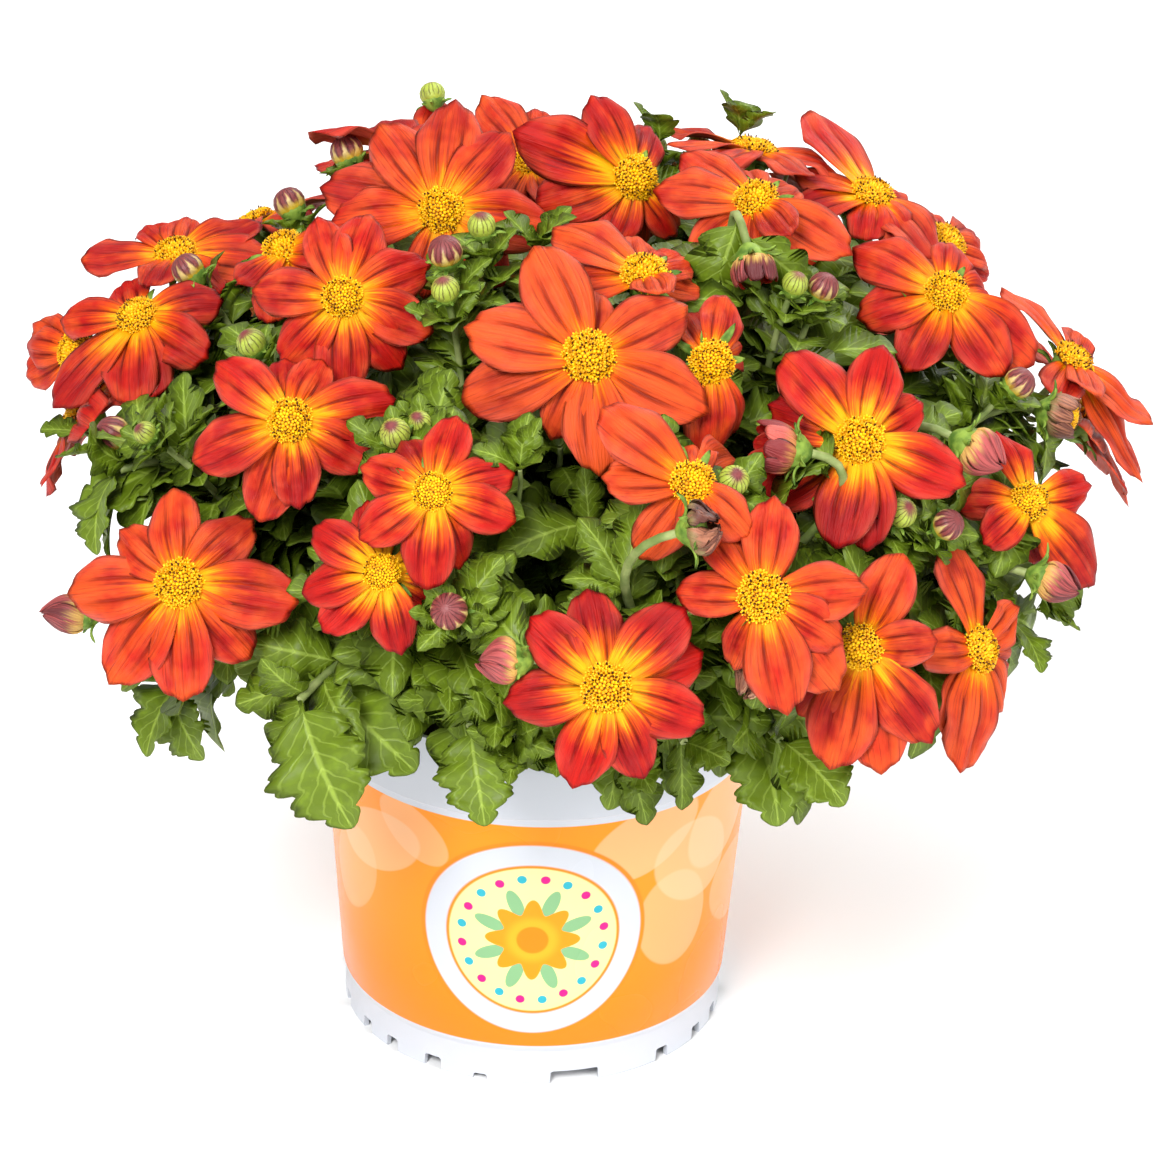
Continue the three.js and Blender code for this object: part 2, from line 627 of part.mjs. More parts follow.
// Where each bloom is, which way it faces, and where its petals end. A petal's tip can shift in depth,
// so that it lies over or under what it meets.
function planBlooms() {
  const plans = BLOOMS.map((bloom) => {
    const centre = onMound(bloom.disc, bloom.lift);
    const normal = facing(bloom.face);
    const [u, v] = bloom.face;
    const w = Math.max(LEAST_FACING, Math.sqrt(Math.max(0, 1 - u * u - v * v)));
    const petals = bloom.tips.map((tip) => {
      const flat = atDepth(tip, centre, 0).sub(centre);
      const span = flat.length();
      const most = Math.sqrt(Math.max(0, BLOOM.longest ** 2 - span ** 2));
      const least = Math.sqrt(Math.max(0, BLOOM.shortest ** 2 - span ** 2));
      const lean = -(flat.dot(right) * u + flat.dot(up) * v) / w - BLOOM.droop;
      const offset = Math.sign(lean) * THREE.MathUtils.clamp(Math.abs(lean), least, most);
      return (shift) => atDepth(tip, centre, offset + shift);
    });
    return { name: bloom.name, centre, normal, petals };
  });
  let index = 0;
  for (const row of BACK_ROWS) {
    for (let k = 0; k < row.count; k += 1) {
      index += 1;
      plans.push(planBackBloom(index, row, k));
    }
  }
  return plans;
}

function planBackBloom(index, row, k) {
  const turn = THREE.MathUtils.lerp(row.from, row.to, k / (row.count - 1));
  const azimuth = rad(turn + BACK.turnDraw * (draw(index) - 0.5));
  const height = rad(row.height + BACK.heightDraw * (draw(index + 40) - 0.5));
  const out = new Vector3(
    Math.cos(height) * Math.cos(azimuth),
    Math.cos(height) * Math.sin(azimuth),
    Math.sin(height),
  );
  const centre = moundCentre.clone().add(out.clone().multiply(moundSize).multiplyScalar(BACK.reach));
  const normal = out.clone().divide(moundSize).normalize();
  normal.setZ(normal.z + BACK.lift).normalize();
  const side = new Vector3(-Math.sin(azimuth), Math.cos(azimuth), 0);
  const rise = normal.clone().cross(side).normalize();
  const cross = rise.clone().cross(normal);
  const petals = Array.from({ length: BACK.petals }, (_, p) => {
    const swing = BACK.petalTurnDraw * (draw(index * 9 + p) - 0.5);
    const angle = (2 * Math.PI * (p + draw(index))) / BACK.petals + swing;
    const reach = BLOOM.reach * (BACK.leastPetal + BACK.petalDraw * draw(index * 11 + p));
    const end = centre.clone()
      .addScaledVector(cross, reach * Math.cos(angle))
      .addScaledVector(rise, reach * Math.sin(angle))
      .addScaledVector(normal, -BLOOM.droop);
    return (shift) => end.clone().addScaledVector(normal, shift);
  });
  return { name: `bloom_back_${index}`, centre, normal, petals };
}

// The flower's disc of florets and the green cup under it, as a plain solid that other pieces keep clear of.
function makeDisc({ centre, normal }) {
  const profile = [
    [0, -BLOOM.cupDepth],
    [BLOOM.cupFoot, -BLOOM.cupDepth],
    [BLOOM.discRadius + DISC_ROOM.brim, -DISC_ROOM.under],
    [BLOOM.discRadius + DISC_ROOM.brim, DISC_ROOM.over],
    [BLOOM.discRadius * DISC_ROOM.shoulder, BLOOM.discHeight * DISC_ROOM.shoulderHeight],
    [0, BLOOM.discHeight + DISC_ROOM.top],
  ];
  const outline = profile.map(([r, z]) => new THREE.Vector2(r, z));
  const geometry = new THREE.LatheGeometry(outline, DISC_ROOM.sides);
  geometry.applyQuaternion(new THREE.Quaternion().setFromUnitVectors(new Vector3(0, 1, 0), normal));
  geometry.translate(centre.x, centre.y, centre.z);
  return solidFromGeometry(geometry);
}

function petalShape({ centre, normal }, tip, slim) {
  const share = tip.distanceTo(centre) / BLOOM.reach;
  const width = THREE.MathUtils.clamp(share, PETAL_WIDTHS.least, PETAL_WIDTHS.most);
  return {
    base: centre.clone().addScaledVector(normal, -BLOOM.petalDrop),
    tip,
    normal,
    halfWidth: slim * BLOOM.petalHalfWidth * width,
    side: PETAL_SIDE,
    ribs: PETAL_RIBS,
    thickness: BLOOM.petalThickness,
    arch: BLOOM.petalArch,
    fold: BLOOM.petalFold,
    from: PETAL_FREE,
  };
}

// The solids placed so far, which later ones keep clear of. Pieces of one owner may touch.
const placed = [];
function overlaps(a, b) {
  return [0, 1, 2].every((i) => a.min[i] < b.max[i] && b.min[i] < a.max[i]);
}

function isClear(solid, owner) {
  const box = solid.boundingBox();
  const own = (other) => other.owner === owner || `${owner}`.startsWith(`${other.owner} `);
  return !placed.some((other) => !own(other) && overlaps(box, other.box)
    && !solid.intersect(other.solid).isEmpty());
}

function keep(solid, owner) {
  placed.push({ solid, owner, box: solid.boundingBox() });
}

// The first of some tries that is clear, or null.
function firstClear(tries, owner, build) {
  for (const item of tries) {
    if (isClear(build(item), owner)) return item;
  }
  return null;
}

// One closed shell for a whole bloom: each petal grows out of its share of the ring between cup and disc.
function bloomShell({ centre, normal }, petals) {
  const first = petals[0].tip.clone().sub(centre);
  const ahead = first.addScaledVector(normal, -first.dot(normal)).normalize();
  const aside = normal.clone().cross(ahead);
  const angleOf = ({ tip }) => {
    const d = tip.clone().sub(centre);
    return (Math.atan2(d.dot(aside), d.dot(ahead)) + 2 * Math.PI) % (2 * Math.PI);
  };
  const order = [...petals].sort((a, b) => angleOf(a) - angleOf(b));
  const count = order.length;
  const angles = spread(order.map(angleOf), (SECTOR_LEAST * 2 * Math.PI) / count);
  const edges = angles.map((angle, k) => {
    const next = k === count - 1 ? angles[0] + 2 * Math.PI : angles[k + 1];
    return (angle + next) / 2;
  });
  const at = (radius, angle, height) => centre.clone()
    .addScaledVector(ahead, radius * Math.cos(angle))
    .addScaledVector(aside, radius * Math.sin(angle))
    .addScaledVector(normal, height);
  const points = [];
  const faces = [];
  const owners = [];
  const add = (point) => points.push(point) - 1;
  const ring = (radius, height, places) => places.map((angle) => add(at(radius, angle, height)));
  const foot = ring(BLOOM.cupFoot, -BLOOM.cupDepth, edges);
  const under = ring(BLOOM.discRadius - SHELL.underInset, -SHELL.underDrop, edges);
  const over = ring(BLOOM.discRadius - SHELL.overInset, SHELL.overRise, edges);
  const brim = ring(BLOOM.discRadius * SHELL.brim, BLOOM.discHeight * SHELL.brim, angles);
  const top = add(at(0, 0, BLOOM.discHeight));
  for (let k = 0; k < count; k += 1) {
    const before = (k + count - 1) % count;
    const after = (k + 1) % count;
    faces.push([foot[before], foot[k], under[k]], [foot[before], under[k], under[before]]);
    faces.push([over[before], over[k], brim[k]], [over[k], brim[after], brim[k]]);
    faces.push([brim[k], brim[after], top]);
    if (k > 0 && k < count - 1) faces.push([foot[0], foot[k + 1], foot[k]]);
    const shape = petalShape({ centre, normal }, order[k].tip, order[k].slim);
    const place = bladePlace(shape);
    const side = (hand, edge) => PETAL_SIDE.map(([s, w], i) => {
      const corner = (share) => place(s, hand * share * w * shape.halfWidth, -shape.fold * w);
      const inside = (share) => hand * turnFrom(edge, angleOf({ tip: corner(share) })) < -SECTOR_GAP;
      return add(corner(i === 0 ? BASE_SHARES.find(inside) ?? BASE_SHARES.at(-1) : 1));
    });
    const left = side(1, edges[k]);
    const rightSide = side(-1, edges[before]);
    const tip = add(place(1, 0, 0));
    const crest = add(place(PETAL_RIBS[0], 0, shape.thickness / 2));
    const keel = add(place(PETAL_RIBS[0], 0, -shape.thickness / 2));
    const loop = (start, end) => [start, ...rightSide, tip, ...[...left].reverse(), end];
    const upper = loop(over[before], over[k]);
    const lower = loop(under[before], under[k]);
    for (let i = 0; i < upper.length; i += 1) {
      const j = (i + 1) % upper.length;
      faces.push([upper[i], upper[j], crest], [lower[j], lower[i], keel]);
    }
    faces.push([under[before], rightSide[0], over[before]], [under[k], over[k], left[0]]);
    while (owners.length < faces.length) owners.push(k);
  }
  return { points, faces, owners, order };
}

// Whether an edge of one triangle passes through another. Triangles that share the corner don't count.
const probe = new THREE.Ray();
const met = new Vector3();
function pierces(points, face, other) {
  return face.some((start, k) => {
    const end = face[(k + 1) % 3];
    if (other.includes(start) || other.includes(end)) return false;
    const reach = points[end].clone().sub(points[start]);
    probe.set(points[start], reach.clone().normalize());
    const found = probe.intersectTriangle(...other.map((i) => points[i]), false, met);
    return found !== null && met.distanceTo(points[start]) < reach.length();
  });
}

// The petal whose triangles cross others of the same bloom most often, or -1.
function mostCrossed({ points, faces, owners, order }) {
  const boxes = faces.map((face) => new THREE.Box3().setFromPoints(face.map((i) => points[i])));
  const counts = order.map(() => 0);
  const cross = (one, other) => pierces(points, one, other) || pierces(points, other, one);
  faces.forEach((face, i) => {
    for (let j = i + 1; j < faces.length; j += 1) {
      if (boxes[i].intersectsBox(boxes[j]) && cross(face, faces[j])) {
        counts[owners[i]] += 1;
        counts[owners[j]] += 1;
      }
    }
  });
  const most = Math.max(...counts);
  return most > 0 ? counts.indexOf(most) : -1;
}

// Petals that cross near the disc are slimmed, and a petal that still crosses is left out.
function makeBloom(plan, petals) {
  let rest = petals;
  for (;;) {
    const shell = bloomShell(plan, rest);
    const worst = mostCrossed(shell);
    if (worst < 0) return solidFrom(shell.points, shell.faces);
    const petal = shell.order[worst];
    petal.slim *= SLIMMING;
    if (petal.slim < SLIMMEST) rest = rest.filter((other) => other !== petal);
  }
}

// The turn from one angle to another, between minus and plus half a turn.
function turnFrom(from, to) {
  const turn = (to - from) / (2 * Math.PI);
  return 2 * Math.PI * (turn - Math.round(turn));
}

// Angles in order, moved apart until neighbours are at least a gap from each other.
function spread(angles, gap) {
  const places = [...angles];
  for (let round = 0; round < SPREAD_ROUNDS; round += 1) {
    for (let k = 0; k < places.length; k += 1) {
      const next = (k + 1) % places.length;
      const turn = next === 0 ? 2 * Math.PI : 0;
      const short = gap - (places[next] + turn - places[k]);
      if (short > 0) {
        places[k] -= short / 2;
        places[next] += short / 2;
      }
    }
  }
  return places;
}

// The curve of a main stem, straight up out of the soil and then outwards.
function mainCurve(index) {
  const foot = crownFoot(index);
  const out = new Vector3(foot.x - POT.axisX, foot.y, 0).normalize();
  const at = (reach, z) => new Vector3(POT.axisX, 0, z).addScaledVector(out, reach);
  return [
    foot.clone().setZ(SOIL.top + SOIL.crownRise + CROWN.seat),
    at(CROWN.ring + CROWN.seat, SOIL.top + CROWN.upright),
    at(CROWN.reach * CROWN.kneeReach, SOIL.top + CROWN.rise * CROWN.kneeRise),
    at(CROWN.reach, SOIL.top + CROWN.rise),
  ];
}

function makeMain(curve, index) {
  const foot = crownFoot(index).setZ(SOIL.top - SOIL.holeDepth + SOIL.gap);
  const stations = [{ point: foot, direction: new Vector3(0, 0, 1) }, ...curveStations(curve, CROWN.steps)];
  const radii = stations.map((_, k) => THREE.MathUtils.lerp(
    CROWN.stemRadius,
    CROWN.endRadius,
    Math.max(0, k - 1) / CROWN.steps,
  ));
  return tube(stations, radii, CROWN.sides);
}

// Each side stem belongs to the main stem on whose side of the crown it ends.
function sectorOf(point) {
  const turn = Math.atan2(point.y, point.x - POT.axisX) / (2 * Math.PI);
  return Math.floor((turn - Math.floor(turn)) * CROWN.stems) % CROWN.stems;
}

// Directions whose cross product has a squared length under this one run along each other.
const ALONG = 0.01;

// A side stem comes in behind its flower along the flower's own direction. bend moves its middle aside.
function branchCurve(main, end, direction, early, [bendSide, bendUp]) {
  const distance = Math.hypot(end.x - POT.axisX, end.y);
  const place = STEM.firstPlace + (STEM.placeSpan * distance) / MOUND.radius - early;
  const start = onCurve(main, THREE.MathUtils.clamp(place, STEM.leastPlace, STEM.mostPlace));
  const length = start.point.distanceTo(end);
  const sideways = direction.clone().cross(start.direction);
  if (sideways.lengthSq() < ALONG) sideways.set(start.direction.y, -start.direction.x, 0);
  const shift = sideways.setLength(bendSide).add(new Vector3(0, 0, bendUp));
  return [
    start.point,
    start.point.clone().addScaledVector(start.direction, STEM.leave * length).add(shift),
    end.clone().addScaledVector(direction, -STEM.arrive * length).add(shift),
    end,
  ];
}

// A side stem, with a bud of a given radius at its end or without one.
function makeBranch({ curve, end, direction, bud }, grow = 0) {
  const steps = bud ? STEM.steps - 1 : STEM.steps;
  const stations = curveStations(curve, steps);
  const radii = stations.map((_, k) => THREE.MathUtils.lerp(STEM.root, STEM.tip, k / steps));
  for (const [ahead, share] of bud ? BUD_PROFILE : []) {
    stations.push({ point: end.clone().addScaledVector(direction, ahead * bud), direction });
    radii.push(share * bud);
  }
  return tube(stations, radii, STEM.sides, grow);
}

function placeBranch({ end, direction, bud = 0, early = 0, leaves = [] }) {
  const sector = sectorOf(end);
  const shape = (bend) => {
    const curve = branchCurve(mains[sector], end, direction, early, bend);
    return { curve, end, direction, bud };
  };
  const bend = firstClear(BENDS, sector, (item) => makeBranch(shape(item), CLEAR + STEM.spare));
  const branch = { sector, leaves, direction, ...shape(bend ?? BENDS[0]) };
  branch.solid = makeBranch(branch);
  keep(branch.solid, sector);
  return branch;
}

// A leaf grows out of the middle of its stem.
function leafShape(base, tip, normal, broad) {
  const length = tip.distanceTo(base);
  const sizes = broad ? BROAD_LEAF : SMALL_LEAF;
  return { ...sizes, base, tip, normal, halfWidth: sizes.share * length, arch: sizes.archShare * length };
}

// Broad leaves end at their own pixel, at the first depth that is clear.
function placeBroadLeaves({ curve, sector, leaves }) {
  const solids = [];
  for (const [place, pixel] of leaves) {
    const { point } = onCurve(curve, place);
    const normal = new Vector3(point.x - POT.axisX, point.y, 0).normalize().setZ(BROAD_LIFT);
    const shape = (offset) => leafShape(point, atDepth(pixel, point, offset), normal, true);
    const offset = firstClear(LEAF_DEPTHS, sector, (item) => blade(shape(item), CLEAR));
    if (offset === null) continue;
    const solid = blade(shape(offset));
    keep(solid, sector);
    solids.push(solid);
  }
  return solids;
}

// A small leaf stands out from a side stem, turned about it until it is clear.
function placeSmallLeaf({ curve, sector }, seed) {
  const { point, direction } = onCurve(curve, SMALL_LEAF.place);
  const side = direction.clone().cross(new Vector3(0, 0, 1)).normalize();
  const rise = side.clone().cross(direction);
  const length = THREE.MathUtils.lerp(SMALL_LEAF.shortest, SMALL_LEAF.longest, draw(seed));
  const shape = (turn) => {
    const angle = rad(turn) + Math.PI * (seed % 2);
    const out = side.clone().multiplyScalar(Math.cos(angle)).addScaledVector(rise, Math.sin(angle));
    const tip = point.clone()
      .addScaledVector(out, SMALL_LEAF.out * length)
      .addScaledVector(direction, SMALL_LEAF.ahead * length);
    return leafShape(point, tip, direction.clone().add(new Vector3(0, 0, SMALL_LEAF.lift)), false);
  };
  const turn = firstClear(LEAF_TURNS, sector, (item) => blade(shape(item), CLEAR));
  if (turn === null) return [];
  const solid = blade(shape(turn));
  keep(solid, sector);
  return [solid];
}

function planHead(head) {
  const base = onMound(head.base, head.lift);
  const point = atDepth(head.point, base, HEAD_TIP_LIFT);
  const direction = point.clone().sub(base).normalize();
  return { ...head, base, direction, length: point.distanceTo(base) };
}

function makeHead({ base, direction, length, radius }, grow = 0) {
  const stations = HEAD_PROFILE.map(([ahead]) => (
    { point: base.clone().addScaledVector(direction, ahead * length), direction }
  ));
  return tube(stations, HEAD_PROFILE.map(([, share]) => share * radius), HEAD_SIDES, grow);
}

function placePetals(plan) {
  const petals = [];
  plan.petals.forEach((tipAt, k) => {
    const owner = `${plan.name} petal ${k}`;
    const tries = PETAL_FORMS.flatMap(([slim, reach]) => PETAL_SHIFTS.map((shift) => (
      { slim, tip: plan.centre.clone().lerp(tipAt(shift), reach) }
    )));
    const petal = firstClear(tries, owner, ({ slim, tip }) => blade(petalShape(plan, tip, slim), CLEAR));
    if (!petal) return;
    keep(blade(petalShape(plan, petal.tip, petal.slim)), owner);
    petals.push(petal);
  });
  return petals;
}

// The pieces are placed in the order in which they give way to each other: discs, heads, stems, petals,
// leaves.
const pot = makePot();
const soil = makeSoil();
keep(pot, 'pot');
const plans = planBlooms();
plans.forEach((plan) => keep(makeDisc(plan), plan.name));
const heads = HEADS.map(planHead);
heads.forEach((head) => keep(makeHead(head, CLEAR), head.name));

const mains = Array.from({ length: CROWN.stems }, (_, k) => mainCurve(k));
const stems = mains.map(makeMain);
stems.forEach((stem, k) => keep(stem, k));

const flowerEnds = plans.map(({ centre, normal }) => (
  { end: centre.clone().addScaledVector(normal, -BLOOM.cupDepth - BLOOM.seat), direction: normal }
));
const headEnds = heads.map(({ base, direction }) => (
  { end: base.clone().addScaledVector(direction, -BLOOM.seat), direction }
));
const budEnds = BUDS.map(({ at, lift, radius }) => {
  const point = onMound(at, lift);
  const direction = point.clone().sub(moundCentre).divide(moundSize);
  direction.setZ(direction.z + BUD_LIFT).normalize();
  return { end: point.addScaledVector(direction, -BUD_MIDDLE * radius), direction, bud: radius };
});
const shootEnds = SHOOTS.map(({ end, lift, leaves }) => {
  const point = onMound(end, lift);
  const direction = new Vector3(point.x - POT.axisX, point.y, 0).normalize().setZ(-SHOOT_DIP).normalize();
  return { end: point, direction, early: SHOOT_EARLY, leaves };
});
const branches = [...flowerEnds, ...headEnds, ...shootEnds, ...budEnds].map(placeBranch);
const blooms = plans.map((plan) => ({ name: plan.name, solid: makeBloom(plan, placePetals(plan)) }));
const leaves = branches.map((branch) => placeBroadLeaves(branch));
branches.forEach((branch, k) => {
  if (k < flowerEnds.length + headEnds.length && k % 3) leaves[k].push(...placeSmallLeaf(branch, k));
});

addNode('pot', pot, MATERIALS.pot);
addNode('soil', soil, MATERIALS.soil);
stems.forEach((stem, k) => {
  const parts = branches.flatMap((branch, i) => (branch.sector === k ? [branch.solid, ...leaves[i]] : []));
  addNode(`leafy_stem_${k + 1}`, largestBody(joined([stem, ...parts])), MATERIALS.leaf);
});
blooms.forEach(({ name, solid }) => addNode(name, solid, MATERIALS.petal));
heads.forEach((head) => addNode(head.name, makeHead(head), MATERIALS.head));
export default plant;
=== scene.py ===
"""A flowering bidens in a white nursery pot: its fine pieces, finishes, light and camera."""
from __future__ import annotations

import json
import logging
import math
from dataclasses import dataclass, field
from enum import Enum
from typing import Callable, Iterable, Optional, Sequence, Union

import bpy
import numpy as np
from mathutils import Matrix, Vector
from mathutils.bvhtree import BVHTree
from mathutils.kdtree import KDTree

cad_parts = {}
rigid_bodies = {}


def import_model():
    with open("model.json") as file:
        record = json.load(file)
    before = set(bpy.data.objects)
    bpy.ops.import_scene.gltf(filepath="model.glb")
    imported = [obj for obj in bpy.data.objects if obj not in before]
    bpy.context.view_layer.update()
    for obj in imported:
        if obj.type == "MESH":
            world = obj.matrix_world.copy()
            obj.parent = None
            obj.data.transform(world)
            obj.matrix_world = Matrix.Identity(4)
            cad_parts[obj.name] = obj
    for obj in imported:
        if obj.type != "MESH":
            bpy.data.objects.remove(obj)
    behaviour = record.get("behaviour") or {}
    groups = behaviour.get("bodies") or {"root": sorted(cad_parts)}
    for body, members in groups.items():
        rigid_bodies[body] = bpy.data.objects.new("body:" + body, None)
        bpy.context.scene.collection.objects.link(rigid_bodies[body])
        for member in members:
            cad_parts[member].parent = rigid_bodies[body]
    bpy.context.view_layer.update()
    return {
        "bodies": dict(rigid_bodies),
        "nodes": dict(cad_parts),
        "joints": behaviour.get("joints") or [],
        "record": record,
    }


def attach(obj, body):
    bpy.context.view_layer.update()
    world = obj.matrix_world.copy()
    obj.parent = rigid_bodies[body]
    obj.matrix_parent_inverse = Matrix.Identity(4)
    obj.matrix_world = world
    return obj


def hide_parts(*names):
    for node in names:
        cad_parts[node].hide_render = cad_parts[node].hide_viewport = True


logging.basicConfig(level=logging.INFO, format="%(message)s")
LOG = logging.getLogger("bidens")

MM = 0.001
TAU = 2 * math.pi
BODY = "root"
ZENITH = np.array([0.0, 0.0, 1.0])

Pair = tuple[float, float]
Pixel = Pair
Marks = Pair
Point = np.ndarray
Piece = bpy.types.Object
Socket = bpy.types.NodeSocket
Material = bpy.types.Material


def unit(vector: Point) -> Point:
    """Returns the vector at length one."""
    return vector / max(float(np.linalg.norm(vector)), 1e-9)


def span(start: Point, end: Point) -> float:
    """Returns the distance between two points."""
    return float(np.linalg.norm(end - start))


def lerp(a: float, b: float, share: float) -> float:
    """Returns the value at a share of the way from a to b."""
    return a + (b - a) * share


def clamp(value: float, low: float, high: float) -> float:
    """Returns the value kept between two limits."""
    return max(low, min(high, value))


def draw(seed: float) -> float:
    """Returns a repeatable number between 0 and 1."""
    value = math.sin(seed * 12.9898) * 43758.5453
    return value - math.floor(value)


def eased(stops: Sequence[Pair], places: np.ndarray) -> np.ndarray:
    """Reads a smooth curve through its stops.

    Args:
        stops: Places in rising order, each with its value.
        places: Where the curve is read.

    Returns:
        The curve's value at each place.
    """
    xs = np.array([stop[0] for stop in stops])
    ys = np.array([stop[1] for stop in stops])
    slopes = np.gradient(ys, xs)
    index = np.clip(np.searchsorted(xs, places) - 1, 0, len(xs) - 2)
    width = xs[index + 1] - xs[index]
    t = np.clip((places - xs[index]) / width, 0, 1)
    a = (1 + 2 * t) * (1 - t) ** 2
    b = t * (1 - t) ** 2
    c = t * t * (3 - 2 * t)
    d = t * t * (t - 1)
    return a * ys[index] + b * width * slopes[index] + c * ys[index + 1] + d * width * slopes[index + 1]


def smooth(value: np.ndarray, low: float, high: float) -> np.ndarray:
    """Returns 0 below low, 1 above high and a soft step between them."""
    t = np.clip((value - low) / (high - low), 0, 1)
    return t * t * (3 - 2 * t)


def ring(radius: float, height: Union[float, np.ndarray], columns: int) -> np.ndarray:
    """Returns a ring of points about z."""
    angles = TAU * np.arange(columns) / columns
    return np.column_stack([np.cos(angles) * radius, np.sin(angles) * radius, np.full(columns, height)])


def sheet(along: np.ndarray, columns: int) -> Sequence[np.ndarray]:
    """Returns the places along and across a sheet of points, in rows and columns."""
    return np.meshgrid(along, np.linspace(-1, 1, columns), indexing="ij")


def outward(turn: float, rise: float) -> Point:
    """Returns the direction at an azimuth and a height angle."""
    return np.array([math.cos(rise) * math.cos(turn), math.cos(rise) * math.sin(turn), math.sin(rise)])


def is_crossed(surface: BVHTree, start: Point, end: Point) -> bool:
    """Returns whether a line meets a surface."""
    reach = span(start, end)
    return surface.ray_cast(Vector(start), Vector((end - start) / reach), reach)[0] is not None


@dataclass(frozen=True)
class Place:
    """A spot with its own directions, z being the way it faces."""

    origin: Point
    x: Point
    y: Point
    z: Point

    @classmethod
    def facing(cls, origin: Point, z: Point, hint: Point = ZENITH) -> "Place":
        """Returns a place that faces along z, its y as near to hint as it can be.

        Args:
            origin: Where it is.
            z: The way it faces.
            hint: What its y comes near.

        Returns:
            The place.
        """
        z = unit(z)
        x = np.cross(hint, z)
        if float(x @ x) < 1e-4:
            x = np.array([1.0, 0.0, 0.0])
        x = unit(x - z * float(x @ z))
        return cls(origin, x, np.cross(z, x), z)

    @classmethod
    def along(cls, base: Point, tip: Point, normal: Point) -> "Place":
        """Returns a place whose x runs from base to tip, its z as near to normal as it can be."""
        x = unit(tip - base)
        z = unit(normal - x * float(normal @ x))
        return cls(base, x, np.cross(z, x), z)

    @classmethod
    def upright(cls, x: float, y: float = 0.0) -> "Place":
        """Returns a place on the floor that faces up."""
        return cls(np.array([x, y, 0.0]), *np.eye(3))

    def moved(self, step: float) -> "Place":
        """Returns the place moved along its z."""
        return Place(self.origin + self.z * step, self.x, self.y, self.z)

    def world(self, points: np.ndarray) -> np.ndarray:
        """Returns points given in the place's own directions."""
        return self.origin + points[..., :1] * self.x + points[..., 1:2] * self.y + points[..., 2:3] * self.z

    def turned(self, angle: float) -> Point:
        """Returns the direction at an angle about z."""
        return self.x * math.cos(angle) + self.y * math.sin(angle)

    def euler(self) -> tuple[float, float, float]:
        """Returns the turn that takes the world's directions to the place's."""
        turn = Matrix((self.x, self.y, self.z)).transposed().to_euler("XYZ")
        return turn.x, turn.y, turn.z


# Driving sizes in millimetres, the same as the solids'.
@dataclass(frozen=True)
class PotSizes:
    """Sizes of the pot and its printed band."""

    axis_x: float = -8
    height: float = 105
    rim_radius: float = 60
    rim_band: float = 21
    wall_top_radius: float = 57.6
    wall_foot_radius: float = 52.1
    band_foot: float = 11.5
    band_top: float = 82
    foot_radius: float = 51.3
    wall: float = 1.5
    floor: float = 5
    floor_thickness: float = 1.8

    def wall_radius(self, z: float) -> float:
        """Returns the outer radius of the tapered wall at a height."""
        share = (z - self.band_foot) / (self.height - self.rim_band - self.band_foot)
        return lerp(self.wall_foot_radius, self.wall_top_radius, share)


@dataclass(frozen=True)
class CrownSizes:
    """Sizes of the soil and of the main stems that leave it."""

    soil_top: float = 96
    soil_rise: float = 1.5
    edge_gap: float = 0.5
    stems: int = 8
    ring: float = 13
    stem_radius: float = 2.6
    end_radius: float = 1.5
    reach: float = 84
    rise: float = 46


@dataclass(frozen=True)
class MoundSizes:
    """The ellipsoid that the flowers lie on."""

    centre_x: float = 3
    centre_z: float = 150
    radius: float = 128
    rise: float = 82

    def centre(self) -> Point:
        """Returns the middle of the mound."""
        return np.array([self.centre_x, 0.0, self.centre_z])

    def size(self) -> Point:
        """Returns the mound's half sizes."""
        return np.array([self.radius, self.radius, self.rise])


@dataclass(frozen=True)
class BloomSizes:
    """Sizes that every bloom shares."""

    petal_seat: float = 0.4
    cup_depth: float = 6.5
    petal_half_width: float = 7
    petal_arch: float = 2.6
    petal_fold: float = 0.9
    reach: float = 27
    longest: float = 35
    shortest: float = 20
    droop: float = 2.5
    seat: float = 0.3
    widest_at: float = 0.66


POT = PotSizes()
CROWN = CrownSizes()
MOUND = MoundSizes()
BLOOM = BloomSizes()


def off_axis(point: Point) -> Point:
    """Returns the level direction from the pot's axis to a point."""
    return unit(np.array([point[0] - POT.axis_x, point[1], 0]))


def unit_of_mound(point: Point) -> Point:
    """Returns a point's place measured in the mound's half sizes."""
    return (point - MOUND.centre()) / MOUND.size()


BUD_MIDDLE = 1.0
SHOOT_EARLY = 0.4
SHOOT_FALL = 0.3

# What a petal, a side stem and a leaf of the solids were tried at, in order.
PETAL_SHIFTS = (0, -2, 2, -4, 4, -6, 6, -8, 8, -11, 11, -14, 14, -17, 17)
PETAL_FORMS = ((1, 1), (0.84, 1), (0.68, 1), (0.68, 0.84), (0.5, 0.7))
BENDS = ((0, 0), (6, 0), (-6, 0), (0, 6), (0, -6), (12, 0), (-12, 0), (8, 8), (-8, 8), (8, -8), (-8, -8),
         (18, 0), (-18, 0), (0, 14), (0, -14), (24, 6), (-24, 6), (24, -10), (-24, -10), (34, 0), (-34, 0),
         (30, 14), (-30, 14), (30, -16), (-30, -16))
LEAF_DEPTHS = (8, 4, 12, 0, 16, -4, -8, 20, -12, -16)
LEAF_TURNS = (0, 20, -20, 40, -40, 60, -60, 80, -80, 100, -100)
STEM_STEPS = 3
SMALL_LEAF_PLACE = 0.62
SMALL_LEAF_LENGTHS = (17, 26)

